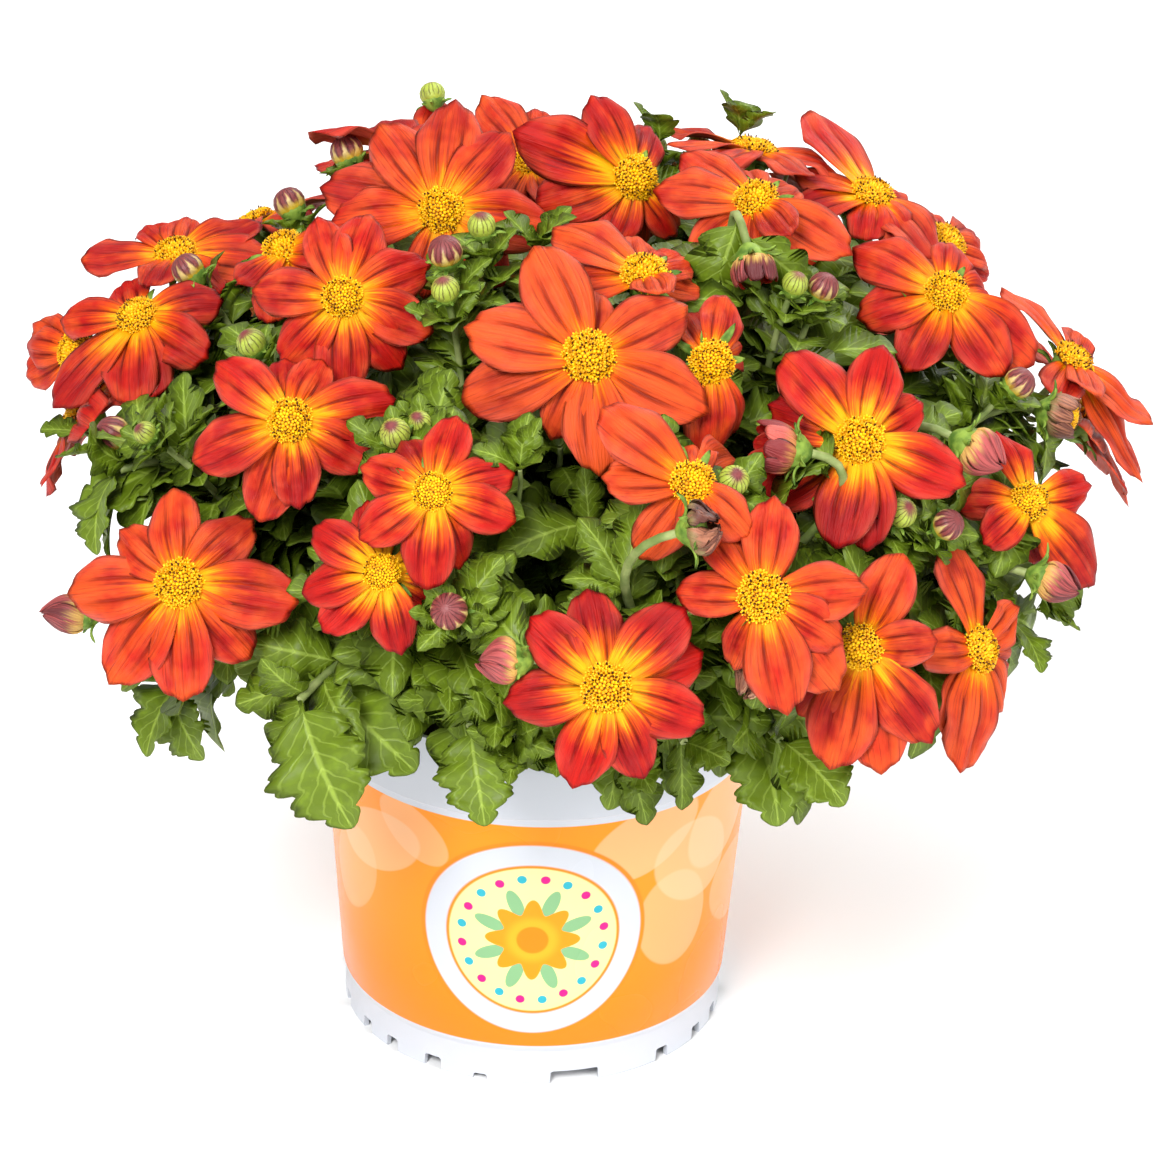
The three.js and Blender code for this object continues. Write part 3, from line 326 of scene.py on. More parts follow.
# Blooms that the photograph shows: name, disc, facing as right and up, lift towards the eye, petal tips.
BLOOMS: tuple[tuple[str, Pixel, Pixel, float, tuple[Pixel, ...]], ...] = (
    ("bloom_14", (606, 688), (0, 0.05), 6, ((530, 617), (588, 589), (682, 606), (704, 650), (704, 725),
        (645, 778), (575, 789), (503, 706))),
    ("bloom_11", (763, 597), (0.05, 0.1), 9, ((775, 497), (706, 512), (676, 592), (733, 672), (788, 716),
        (840, 690), (870, 590), (846, 640))),
    ("bloom_12", (862, 646), (-0.3, -0.15), 0, ((905, 554), (938, 640), (934, 742), (884, 772), (832, 768),
        (797, 716))),
    ("bloom_13", (977, 650), (0.7, 0.1), 0, ((948, 541), (1017, 610), (1015, 655), (1003, 711), (957, 773),
        (940, 742), (926, 650))),
    ("bloom_21", (433, 492), (0, 0.1), 8, ((455, 418), (398, 440), (362, 468), (359, 540), (425, 590),
        (458, 572), (516, 522), (514, 472))),
    ("bloom_22", (382, 572), (0, 0.15), 0, ((312, 528), (301, 592), (326, 634), (405, 655), (437, 597),
        (366, 505), (446, 560))),
    ("bloom_23", (180, 584), (-0.15, 0.1), 0, ((172, 488), (254, 518), (300, 604), (252, 658), (184, 702),
        (110, 684), (66, 594), (116, 530))),
    ("bloom_15", (692, 484), (0.25, 0.2), 9, ((601, 408), (600, 478), (641, 561), (752, 533), (690, 440),
        (735, 462), (700, 556))),
    ("bloom_16", (589, 357), (0, 0.1), 4, ((464, 325), (533, 247), (592, 290), (687, 302), (709, 414),
        (600, 478), (549, 440), (461, 400))),
    ("bloom_09", (860, 441), (0, 0.12), 3, ((788, 351), (884, 345), (922, 408), (965, 487), (869, 552),
        (836, 550), (757, 500), (766, 404))),
    ("bloom_10", (1028, 502), (0.4, 0.2), 0, ((1001, 428), (1091, 489), (1096, 586), (1040, 560),
        (978, 545), (953, 502))),
    ("bloom_19", (343, 298), (0.02, 0.12), 8, ((318, 218), (371, 212), (431, 259), (434, 332), (405, 368),
        (340, 397), (281, 366), (252, 288))),
    ("bloom_20", (290, 421), (-0.05, 0.12), 1, ((216, 361), (283, 360), (322, 362), (398, 401), (372, 465),
        (303, 510), (263, 522), (192, 460))),
    ("bloom_18", (711, 362), (0.1, -0.1), 0, ((724, 300), (690, 313), (744, 342), (728, 440), (710, 456))),
    ("bloom_06", (946, 293), (0.08, 0.3), 6, ((955, 239), (853, 244), (857, 320), (905, 374), (1003, 378),
        (1034, 366), (996, 296))),
    ("bloom_17", (645, 277), (0.1, 0.55), 8, ((553, 224), (547, 293), (660, 300), (694, 296), (684, 262),
        (640, 240))),
    ("bloom_01", (441, 211), (0, 0.1), 6, ((380, 122), (456, 98), (510, 134), (552, 232), (505, 285),
        (425, 300), (330, 224), (320, 190))),
    ("bloom_04", (757, 203), (0.05, 0.42), 6, ((652, 193), (690, 260), (680, 160), (740, 168), (792, 190),
        (851, 260), (795, 240), (760, 262))),
    ("bloom_03", (634, 178), (0.35, 0.0), 0, ((590, 95), (648, 128), (514, 131), (537, 208), (606, 250),
        (650, 244), (680, 236))),
    ("bloom_02", (533, 163), (0.1, 0.4), -6, ((482, 97), (535, 112), (596, 140), (600, 178), (560, 215),
        (510, 222), (456, 190))),
    ("bloom_05", (872, 196), (0.2, 0.75), 0, ((808, 117), (792, 174), (790, 214), (865, 241), (903, 243),
        (937, 257), (905, 200))),
    ("bloom_07", (1072, 362), (0.55, 0.68), 0, ((1001, 287), (1072, 336), (1147, 432), (1138, 486),
        (1092, 402), (1050, 400))),
    ("bloom_24", (138, 318), (-0.35, 0.5), 6, ((52, 408), (60, 322), (128, 287), (222, 299), (206, 358),
        (151, 402), (128, 407))),
    ("bloom_25", (176, 256), (-0.1, 0.7), -8, ((82, 265), (148, 228), (185, 218), (262, 228), (283, 265),
        (224, 296), (146, 288))),
    ("bloom_26", (285, 252), (-0.2, 0.5), -14, ((240, 292), (268, 325), (300, 236), (335, 250),
        (320, 290))),
    ("bloom_27", (78, 352), (-0.6, 0.1), -14, ((36, 322), (22, 345), (30, 378), (80, 388), (92, 316))),
    ("bloom_28", (944, 244), (0.5, 0.5), -16, ((938, 220), (975, 234), (990, 262), (984, 276), (930, 270))),
    ("bloom_30", (792, 238), (0.0, 0.3), -14, ((742, 250), (770, 272), (822, 262), (838, 236), (800, 200))),
    ("bloom_31", (428, 148), (-0.1, 0.6), -20, ((402, 118), (440, 106), (352, 180), (336, 188),
        (470, 130))),
)

# Heads that are not open: name, base, point, lift, radius.
HEADS: tuple[tuple[str, Pixel, Pixel, float, float], ...] = (
    ("head_half_open", (806, 452), (752, 444), 2, 6.2),
    ("head_wilted_right", (955, 438), (1006, 468), 4, 6),
    ("head_wilted_brown", (682, 532), (722, 524), 16, 6.4),
    ("head_opening_front", (528, 660), (474, 662), 2, 5.6),
    ("head_opening_left", (98, 614), (38, 614), -2, 5),
    ("head_opening_right", (1030, 574), (1082, 592), 0, 5),
    ("head_wilted_tan", (768, 652), (742, 698), -4, 5),
    ("head_wilted_top", (748, 248), (758, 288), 10, 5.6),
    ("head_turned", (1040, 410), (1080, 420), -4, 6),
)

# Small buds: place, lift, radius.
BUDS: tuple[tuple[Pixel, float, float], ...] = (
    ((348, 155), 2, 4.6), ((291, 206), -2, 4.4), ((433, 97), -28, 3.6), ((482, 228), 14, 3.6),
    ((446, 255), 14, 4.4), ((446, 292), 8, 3.6), ((190, 272), 8, 4.4), ((116, 436), 0, 4.8),
    ((147, 434), 2, 3), ((253, 345), -4, 3.8), ((396, 435), 2, 3.8), ((420, 424), -4, 3),
    ((450, 612), 0, 4.6), ((733, 482), 6, 3.8), ((900, 514), -4, 3.8), ((946, 526), -2, 4),
    ((1017, 385), -2, 4.2), ((822, 290), -4, 4), ((794, 286), -2, 3.4), ((655, 150), -16, 3.4),
    ((698, 150), -16, 3.6),
)

# Low shoots over the rim: end, lift, and each broad leaf's place along the shoot and tip.
SHOOTS: tuple[tuple[Pixel, float, tuple[tuple[float, Pixel], ...]], ...] = (
    ((300, 700), -20, ((0.55, (236, 662)), (0.8, (286, 752)), (1, (345, 828)), (0.9, (410, 770)))),
    ((170, 680), -30, ((0.7, (118, 676)), (0.9, (136, 746)), (1, (196, 760)))),
    ((470, 726), -24, ((0.6, (500, 640)), (0.8, (420, 690)), (1, (484, 822)))),
    ((626, 752), -34, ((0.9, (612, 806)), (1, (652, 790)))),
    ((684, 742), -30, ((0.8, (678, 790)), (1, (728, 760)))),
    ((780, 740), -30, ((0.6, (730, 770)), (0.85, (784, 822)), (1, (846, 800)))),
    ((930, 650), -40, ((0.8, (960, 690)), (1, (916, 700)))),
    ((1010, 620), -20, ((0.7, (1040, 560)), (1, (1046, 668)))),
    ((120, 470), -10, ((0.7, (74, 495)), (0.9, (96, 430)), (1, (86, 548)))),
)

# Rows of blooms on the hidden side: height angle, first and last azimuth, count.
BACK_ROWS = ((4, 8, 172, 5), (33, 50, 140, 4), (55, 55, 125, 2))
BACK_PETALS = 7
BACK_REACH = 1.065


class View:
    """The photograph's viewpoint. Pixels are those of its 1170 x 1170 frame."""

    focal_px = 5050.0
    frame_px = 1170.0
    centre_px = 585.0
    elevation = math.radians(26.7)
    roll = math.radians(1.59)
    distance = 1337.0
    target_x = 3.55
    target_z = 123.5
    sensor_mm = 36.0

    def __init__(self) -> None:
        """Works out the view's directions and the eye's place."""
        steep = np.array([0, math.sin(self.elevation), math.cos(self.elevation)])
        level = np.array([1.0, 0, 0])
        self.back = np.array([0, -math.cos(self.elevation), math.sin(self.elevation)])
        self.right = math.cos(self.roll) * level + math.sin(self.roll) * steep
        self.up = -math.sin(self.roll) * level + math.cos(self.roll) * steep
        self.eye = np.array([self.target_x, 0, self.target_z]) + self.distance * self.back

    def ray(self, pixel: Pixel) -> Point:
        """Returns the direction from the eye through a pixel."""
        across = (pixel[0] - self.centre_px) / self.focal_px
        rise = (self.centre_px - pixel[1]) / self.focal_px
        return unit(-self.back + self.right * across + self.up * rise)

    def on_mound(self, pixel: Pixel, lift: float) -> Point:
        """Returns the point of the mound's near side at a pixel, moved towards the eye by lift.

        Args:
            pixel: The pixel.
            lift: How far the point moves towards the eye.

        Returns:
            The point.
        """
        ray = self.ray(pixel)
        start = (self.eye - MOUND.centre()) / MOUND.size()
        step = ray / MOUND.size()
        a = float(step @ step)
        b = float(start @ step)
        c = float(start @ start) - 1
        reach = (-b - math.sqrt(max(0.0, b * b - a * c))) / a
        return self.eye + ray * (reach - lift)

    def at_depth(self, pixel: Pixel, point: Point, offset: float) -> Point:
        """Returns the point at a pixel and at the depth of another point, moved towards the eye."""
        ray = self.ray(pixel)
        depth = float((point - self.eye) @ self.back) + offset
        return self.eye + ray * (depth / float(ray @ self.back))

    def facing(self, face: Pixel) -> Point:
        """Returns the direction of a flower that faces right and up by these shares."""
        u, v = face
        return unit(self.right * u + self.up * v + self.back * math.sqrt(max(0.0, 1 - u * u - v * v)))

    def make_camera(self) -> Piece:
        """Returns the camera at the photograph's viewpoint."""
        data = bpy.data.cameras.new("camera")
        data.sensor_width = self.sensor_mm
        data.lens = self.focal_px / self.frame_px * self.sensor_mm
        data.clip_start = 0.01
        camera = bpy.data.objects.new("camera", data)
        turn = Matrix((self.right, self.up, self.back)).transposed().to_4x4()
        camera.matrix_world = Matrix.Translation(Vector(self.eye * MM)) @ turn
        bpy.context.collection.objects.link(camera)
        return camera


VIEW = View()


class Solids:
    """The corners of the solids, in millimetres, to see which try each small part was built at."""

    NEAR = 0.04

    def __init__(self, frame: dict) -> None:
        """Reads the corners of every node.

        Args:
            frame: The loaded frame.
        """
        self.corners: dict[str, np.ndarray] = {}
        self.trees: dict[str, KDTree] = {}
        self.faces: dict[str, list[tuple[int, ...]]] = {}
        for name, obj in frame["nodes"].items():
            mesh = obj.data
            flat = np.empty(3 * len(mesh.vertices))
            mesh.vertices.foreach_get("co", flat)
            corners = flat.reshape(-1, 3) / MM
            tree = KDTree(len(corners))
            for index, corner in enumerate(corners):
                tree.insert(corner, index)
            tree.balance()
            self.corners[name] = corners
            self.trees[name] = tree
            self.faces[name] = [tuple(face.vertices) for face in mesh.polygons]

    def count(self, node: str, points: Iterable[Point]) -> int:
        """Returns how many of the points are corners of a node."""
        return sum(self.trees[node].find(point)[2] < self.NEAR for point in points)

    def surface(self, names: Iterable[str]) -> BVHTree:
        """Returns the surface of some nodes, for tests of what crosses it.

        Args:
            names: The nodes.

        Returns:
            The surface.
        """
        corners: list[Point] = []
        faces: list[tuple[int, ...]] = []
        for name in names:
            start = len(corners)
            corners.extend(self.corners[name])
            faces.extend(tuple(start + i for i in face) for face in self.faces[name])
        return BVHTree.FromPolygons([tuple(corner) for corner in corners], faces)


@dataclass
class Petal:
    """A petal's tip and its share of the full width."""

    tip: Point
    slim: float


@dataclass
class BloomPlan:
    """Where a bloom is, which way it faces and where its petals end."""

    name: str
    centre: Point
    normal: Point
    petals: list[Petal]

    def half_width(self, petal: Petal) -> float:
        """Returns a petal's half width at its widest place."""
        share = clamp(span(self.centre, petal.tip) / BLOOM.reach, 0.75, 1.15)
        return petal.slim * BLOOM.petal_half_width * share


@dataclass
class Curve:
    """A cubic curve through four points."""

    a: Point
    b: Point
    c: Point
    d: Point

    def at(self, t: float) -> Point:
        """Returns the point at a place from 0 to 1."""
        r = 1 - t
        return r ** 3 * self.a + 3 * r * r * t * self.b + 3 * r * t * t * self.c + t ** 3 * self.d

    def ahead(self, t: float) -> Point:
        """Returns the direction at a place from 0 to 1."""
        r = 1 - t
        return unit((self.b - self.a) * r * r + (self.c - self.b) * 2 * r * t + (self.d - self.c) * t * t)


@dataclass
class Leaf:
    """A leaf that the solids hold, from its stem to its tip."""

    base: Point
    tip: Point
    normal: Point
    broad: bool


@dataclass
class Branch:
    """A side stem with what it carries."""

    sector: int
    curve: Curve
    end: Point
    direction: Point
    bud: float = 0.0
    early: float = 0.0
    tips: tuple[tuple[float, Pixel], ...] = ()
    leaves: list[Leaf] = field(default_factory=list)
    missing: list[tuple[float, Pixel]] = field(default_factory=list)


class Planner:
    """Works out the plant's plan from the named sizes, and reads off the solids which tries they took."""

    SIDES = 4
    ROOT = 1.3
    TIP = 1.0

    def __init__(self, solids: Solids) -> None:
        """Keeps the solids.

        Args:
            solids: The corners of the solids.
        """
        self.solids = solids
        self.mains = [self.main_curve(k) for k in range(CROWN.stems)]

    def crown_foot(self, index: int) -> Point:
        """Returns where a main stem leaves the soil.

        Args:
            index: Its number.

        Returns:
            The foot's place on the soil.
        """
        angle = TAU * (index + 0.5) / CROWN.stems
        return np.array([
            POT.axis_x + CROWN.ring * math.cos(angle),
            CROWN.ring * math.sin(angle),
            CROWN.soil_top,
        ])

    def main_curve(self, index: int) -> Curve:
        """Returns the curve of a main stem.

        Args:
            index: Its number.

        Returns:
            The curve.
        """
        foot = self.crown_foot(index)
        out = off_axis(foot)

        def at(reach: float, z: float) -> Point:
            """Returns a point at a distance from the pot's axis."""
            return np.array([POT.axis_x, 0, z]) + out * reach

        start = np.array([foot[0], foot[1], CROWN.soil_top + CROWN.soil_rise + 1])
        return Curve(
            start,
            at(CROWN.ring + 1, CROWN.soil_top + 26),
            at(CROWN.reach * 0.5, CROWN.soil_top + CROWN.rise * 0.92),
            at(CROWN.reach, CROWN.soil_top + CROWN.rise),
        )

    def sector(self, point: Point) -> int:
        """Returns the main stem that a point belongs to."""
        turn = math.atan2(point[1], point[0] - POT.axis_x) / TAU
        return int((turn - math.floor(turn)) * CROWN.stems) % CROWN.stems

    def branch_curve(self, sector: int, end: Point, direction: Point, early: float, bend: Pixel) -> Curve:
        """Returns the curve of a side stem at a bend.

        Args:
            sector: The main stem's number.
            end: Where the side stem ends.
            direction: Its direction there.
            early: How much sooner it leaves the main stem.
            bend: How far its middle moves sideways and up.

        Returns:
            The curve.
        """
        distance = math.hypot(end[0] - POT.axis_x, end[1])
        share = clamp(0.12 + 0.8 * distance / MOUND.radius - early, 0.08, 0.95)
        start = self.mains[sector].at(share)
        ahead = self.mains[sector].ahead(share)
        length = span(start, end)
        sideways = np.cross(direction, ahead)
        if float(sideways @ sideways) < 0.01:
            sideways = np.array([ahead[1], -ahead[0], 0])
        shift = unit(sideways) * bend[0] + ZENITH * bend[1]
        leave = start + ahead * 0.35 * length + shift
        return Curve(start, leave, end - direction * 0.4 * length + shift, end)

    def ring_corners(self, curve: Curve, steps: int) -> list[Point]:
        """Returns the corners of a side stem's solid between its ends.

        Args:
            curve: The stem's curve.
            steps: How many lengths the solid has.

        Returns:
            The corners.
        """
        axis = np.array([0.31, 0.95, 0.07])
        corners = []
        for k in range(steps):
            t = k / steps
            ahead = curve.ahead(t)
            axis = unit(axis - ahead * float(axis @ ahead))
            other = np.cross(ahead, axis)
            radius = lerp(self.ROOT, self.TIP, t)
            for angle in (TAU * i / self.SIDES for i in range(self.SIDES if k else 0)):
                aside = axis * radius * math.cos(angle) + other * radius * math.sin(angle)
                corners.append(curve.at(t) + aside)
        return corners

    def plan_branch(
        self, end: Point, direction: Point, bud: float = 0.0, early: float = 0.0,
        tips: tuple[tuple[float, Pixel], ...] = (),
    ) -> Branch:
        """Returns a side stem at the bend that its solid has.

        Args:
            end: Where it ends.
            direction: Its direction there.
            bud: The radius of its bud, or 0.
            early: How much sooner it leaves the main stem.
            tips: Its broad leaves' places and tips.

        Returns:
            The side stem.
        """
        sector = self.sector(end)
        node = f"leafy_stem_{sector + 1}"
        steps = STEM_STEPS - 1 if bud else STEM_STEPS
        best = max(BENDS, key=lambda bend: self.solids.count(
            node, self.ring_corners(self.branch_curve(sector, end, direction, early, bend), steps)))
        curve = self.branch_curve(sector, end, direction, early, best)
        return Branch(sector, curve, end, direction, bud, early, tips)

    def petal_side(self, plan: BloomPlan, petal: Petal) -> Point:
        """Returns the corner at a petal's widest place.

        Args:
            plan: The bloom's plan.
            petal: The petal.

        Returns:
            The corner.
        """
        base = plan.centre - plan.normal * BLOOM.petal_seat
        place = Place.along(base, petal.tip, plan.normal)
        s = BLOOM.widest_at
        rise = 4 * BLOOM.petal_arch * s * (1 - s) - BLOOM.petal_fold
        return base + place.x * s * span(base, petal.tip) + place.y * plan.half_width(petal) + place.z * rise

    def petal_tries(self, plan: BloomPlan, tip_at: Callable[[float], Point], forms: int,
                    shifts: int) -> Iterable[tuple[Petal, float]]:
        """Yields the petals that a solid was tried at, each with how far it departs from the photograph's.

        Args:
            plan: The bloom's plan.
            tip_at: The rule that gives its tip at a shift in depth.
            forms: How many forms are tried.
            shifts: How many shifts are tried.

        Returns:
            The tries, one after another.
        """
        for slim, reach in PETAL_FORMS[:forms]:
            for shift in PETAL_SHIFTS[:shifts]:
                tip = plan.centre + (tip_at(shift) - plan.centre) * reach
                yield Petal(tip, slim), 0.02 * abs(shift) + 0.5 * (1 - reach)

    def take_petals(self, plan: BloomPlan, tips: Sequence[Callable[[float], Point]]) -> None:
        """Adds the petals that a bloom's solid holds to its plan.

        Args:
            plan: The bloom's plan.
            tips: The rule of each petal's tip.
        """
        for tip_at in tips:
            best: tuple[int, Optional[Petal]] = (0, None)
            for petal, _ in self.petal_tries(plan, tip_at, len(PETAL_FORMS), len(PETAL_SHIFTS)):
                if not self.solids.count(plan.name, [petal.tip]):
                    continue
                score = 1 + self.solids.count(plan.name, [self.petal_side(plan, petal)])
                if score > best[0]:
                    best = (score, petal)
            plan.petals.append(best[1] or self.missing_petal(plan, tip_at))

    def missing_petal(self, plan: BloomPlan, tip_at: Callable[[float], Point]) -> Petal:
        """Returns a petal that the bloom's solid leaves out, where it crosses the fewest others.

        Args:
            plan: The bloom's plan.
            tip_at: The rule that gives its tip at a shift in depth.

        Returns:
            The petal.
        """
        others = self.solids.surface(
            name for name in self.solids.corners if name.startswith(("bloom", "head")) and name != plan.name)
        best: tuple[float, Optional[Petal]] = (math.inf, None)
        for petal, score in self.petal_tries(plan, tip_at, 3, 11):
            tip = petal.tip
            side = self.petal_side(plan, petal)
            other = (plan.centre + (tip - plan.centre) * BLOOM.widest_at) * 2 - side
            lines = ((plan.centre, tip), (side, tip), (other, tip), (plan.centre, side), (plan.centre, other))
            score += sum(is_crossed(others, start, end) for start, end in lines)
            if score < best[0]:
                best = (score, petal)
        return best[1]

    def front_blooms(self) -> list[BloomPlan]:
        """Returns the plans of the blooms that the photograph shows."""
        plans = []
        for name, disc, face, lift, tips in BLOOMS:
            centre = VIEW.on_mound(disc, lift)
            plan = BloomPlan(name, centre, VIEW.facing(face), [])
            u, v = face
            w = max(0.4, math.sqrt(max(0.0, 1 - u * u - v * v)))

            def tip_at(tip: Pixel, centre: Point = centre, u: float = u, v: float = v, w: float = w):
                """Returns the rule that gives a tip at a shift in depth."""
                flat = VIEW.at_depth(tip, centre, 0) - centre
                wide = float(np.linalg.norm(flat))
                most = math.sqrt(max(0.0, BLOOM.longest ** 2 - wide ** 2))
                least = math.sqrt(max(0.0, BLOOM.shortest ** 2 - wide ** 2))
                lean = -(float(flat @ VIEW.right) * u + float(flat @ VIEW.up) * v) / w - BLOOM.droop
                offset = math.copysign(clamp(abs(lean), least, most), lean)
                return lambda shift: VIEW.at_depth(tip, centre, offset + shift)

            self.take_petals(plan, [tip_at(tip) for tip in tips])
            plans.append(plan)
        return plans

    def back_blooms(self) -> list[BloomPlan]:
        """Returns the plans of the blooms on the hidden side."""
        plans = []
        for height, first, last, count in BACK_ROWS:
            for k in range(count):
                index = len(plans) + 1
                turn = lerp(first, last, k / (count - 1))
                plans.append(self.back_bloom(index, turn, height))
        return plans

    def back_bloom(self, index: int, turn: float, height: float) -> BloomPlan:
        """Returns the plan of one hidden bloom at an azimuth and a height angle, in degrees.

        Args:
            index: Its number.
            turn: Its azimuth.
            height: Its height angle.

        Returns:
            The plan.
        """
        azimuth = math.radians(turn + 8 * (draw(index) - 0.5))
        tilt = math.radians(height + 10 * (draw(index + 40) - 0.5))
        out = outward(azimuth, tilt)
        centre = MOUND.centre() + out * MOUND.size() * BACK_REACH
        normal = unit(unit(out / MOUND.size()) + ZENITH * 0.35)
        side = np.array([-math.sin(azimuth), math.cos(azimuth), 0])
        rise = unit(np.cross(normal, side))
        cross = np.cross(rise, normal)
        plan = BloomPlan(f"bloom_back_{index}", centre, normal, [])
        tips = []
        for p in range(BACK_PETALS):
            angle = TAU * (p + draw(index)) / BACK_PETALS + 0.2 * (draw(index * 9 + p) - 0.5)
            reach = BLOOM.reach * (0.94 + 0.14 * draw(index * 11 + p))
            end = centre + cross * reach * math.cos(angle) + rise * reach * math.sin(angle)
            end = end - normal * BLOOM.droop
            tips.append(lambda shift, end=end: end + normal * shift)
        self.take_petals(plan, tips)
        return plan

    def plan_leaves(self, branch: Branch, seed: int) -> None:
        """Adds the leaves that the solids hold to a side stem.

        Args:
            branch: The side stem.
            seed: The side stem's number.
        """
        node = f"leafy_stem_{branch.sector + 1}"
        for place, pixel in branch.tips:
            base = branch.curve.at(place)
            out = off_axis(base)
            for offset in LEAF_DEPTHS:
                tip = VIEW.at_depth(pixel, base, offset)
                if self.solids.count(node, [tip]):
                    branch.leaves.append(Leaf(base, tip, out + ZENITH * 0.7, True))
                    break
            else:
                branch.missing.append((place, pixel))
        if branch.tips or branch.bud:
            return
        base = branch.curve.at(SMALL_LEAF_PLACE)
        ahead = branch.curve.ahead(SMALL_LEAF_PLACE)
        side = unit(np.cross(ahead, ZENITH))
        rise = np.cross(side, ahead)
        length = lerp(*SMALL_LEAF_LENGTHS, draw(seed))
        for turn in LEAF_TURNS:
            angle = math.radians(turn) + math.pi * (seed % 2)
            out = side * math.cos(angle) + rise * math.sin(angle)
            tip = base + out * 0.85 * length + ahead * 0.5 * length
            if self.solids.count(node, [tip]):
                branch.leaves.append(Leaf(base, tip, ahead + ZENITH * 0.6, False))
                break

    def branches(self, blooms: Sequence[BloomPlan], heads: Sequence["HeadPlan"]) -> list[Branch]:
        """Returns every side stem, in the solids' order.

        Args:
            blooms: The blooms' plans.
            heads: The plans of the heads.

        Returns:
            The side stems.
        """
        found = []
        for plan in blooms:
            foot = plan.centre - plan.normal * (BLOOM.cup_depth + BLOOM.seat)
            found.append(self.plan_branch(foot, plan.normal))
        for head in heads:
            found.append(self.plan_branch(head.base - head.direction * BLOOM.seat, head.direction))
        for end, lift, tips in SHOOTS:
            point = VIEW.on_mound(end, lift)
            direction = unit(off_axis(point) - ZENITH * SHOOT_FALL)
            found.append(self.plan_branch(point, direction, early=SHOOT_EARLY, tips=tips))
        for at, lift, radius in BUDS:
            point = VIEW.on_mound(at, lift)
            direction = unit(unit_of_mound(point) + ZENITH * 0.4)
            found.append(self.plan_branch(point - direction * BUD_MIDDLE * radius, direction, bud=radius))
        for index, branch in enumerate(found):
            self.plan_leaves(branch, index)
        return found


@dataclass
class HeadPlan:
    """A head that is not open, from its base towards its point."""

    name: str
    base: Point
    direction: Point
    length: float
    radius: float


def plan_heads() -> list[HeadPlan]:
    """Returns the plans of the heads that are not open."""
    plans = []
    for name, base_px, point_px, lift, radius in HEADS:
        base = VIEW.on_mound(base_px, lift)
        point = VIEW.at_depth(point_px, base, 2)
        plans.append(HeadPlan(name, base, unit(point - base), span(base, point), radius))
    return plans


Colour = tuple[float, float, float]
Value = Union["Tone", float, int, Colour]


def shade_of(code: str) -> Colour:
    """Returns the linear colour of a six-figure screen colour."""
    parts = [int(code[i:i + 2], 16) / 255 for i in (0, 2, 4)]
    red, green, blue = (p / 12.92 if p <= 0.04045 else ((p + 0.055) / 1.055) ** 2.4 for p in parts)
    return red, green, blue


def operator(operation: str, swapped: bool = False) -> Callable[..., "Tone"]:
    """Returns the method of a tone that adds a Math node for an operator.

    Args:
        operation: The Math node's operation.
        swapped: Whether the tone is the second value.

    Returns:
        The method.
    """
    def method(tone: "Tone", *others: Value) -> "Tone":
        """Returns the operator's result."""
        values = (*others, tone) if swapped else (tone, *others)
        return tone.paint.sum_up(operation, *values)

    return method


class Tone:
    """A socket of a material's tree, which takes part in Python expressions."""

    __add__ = operator("ADD")
    __radd__ = operator("ADD", swapped=True)
    __sub__ = operator("SUBTRACT")
    __rsub__ = operator("SUBTRACT", swapped=True)
    __mul__ = operator("MULTIPLY")
    __rmul__ = operator("MULTIPLY", swapped=True)
    __truediv__ = operator("DIVIDE")
    __pow__ = operator("POWER")
    __abs__ = operator("ABSOLUTE")

    def __init__(self, paint: "Paint", socket: Socket) -> None:
        """Keeps the tree and the socket."""
        self.paint = paint
        self.socket = socket


class NodeMaker:
    """Adds nodes to one tree."""

    tree: bpy.types.NodeTree

    def plug(self, socket: Socket, value: Union[Value, Socket]) -> None:
        """Sets or links a socket.

        Args:
            socket: The socket.
            value: Its value, or what is linked to it.
        """
        value = value.socket if isinstance(value, Tone) else value
        if isinstance(value, Socket):
            self.tree.links.new(value, socket)
        elif isinstance(value, tuple) and socket.type == "RGBA":
            socket.default_value = (*value, 1.0)
        else:
            socket.default_value = value

    def add(self, kind: str, settings: Optional[dict] = None, inputs: Optional[dict] = None,
            out: Union[str, int] = 0) -> Socket:
        """Adds a node.

        Args:
            kind: The node's type.
            settings: Its own settings, set first.
            inputs: Values or links of its sockets.
            out: The output that is returned.

        Returns:
            The output.
        """
        made = self.tree.nodes.new(kind)
        for key, value in (settings or {}).items():
            setattr(made, key, value)
        for key, value in (inputs or {}).items():
            self.plug(made.inputs[key], value)
        return made.outputs[out]


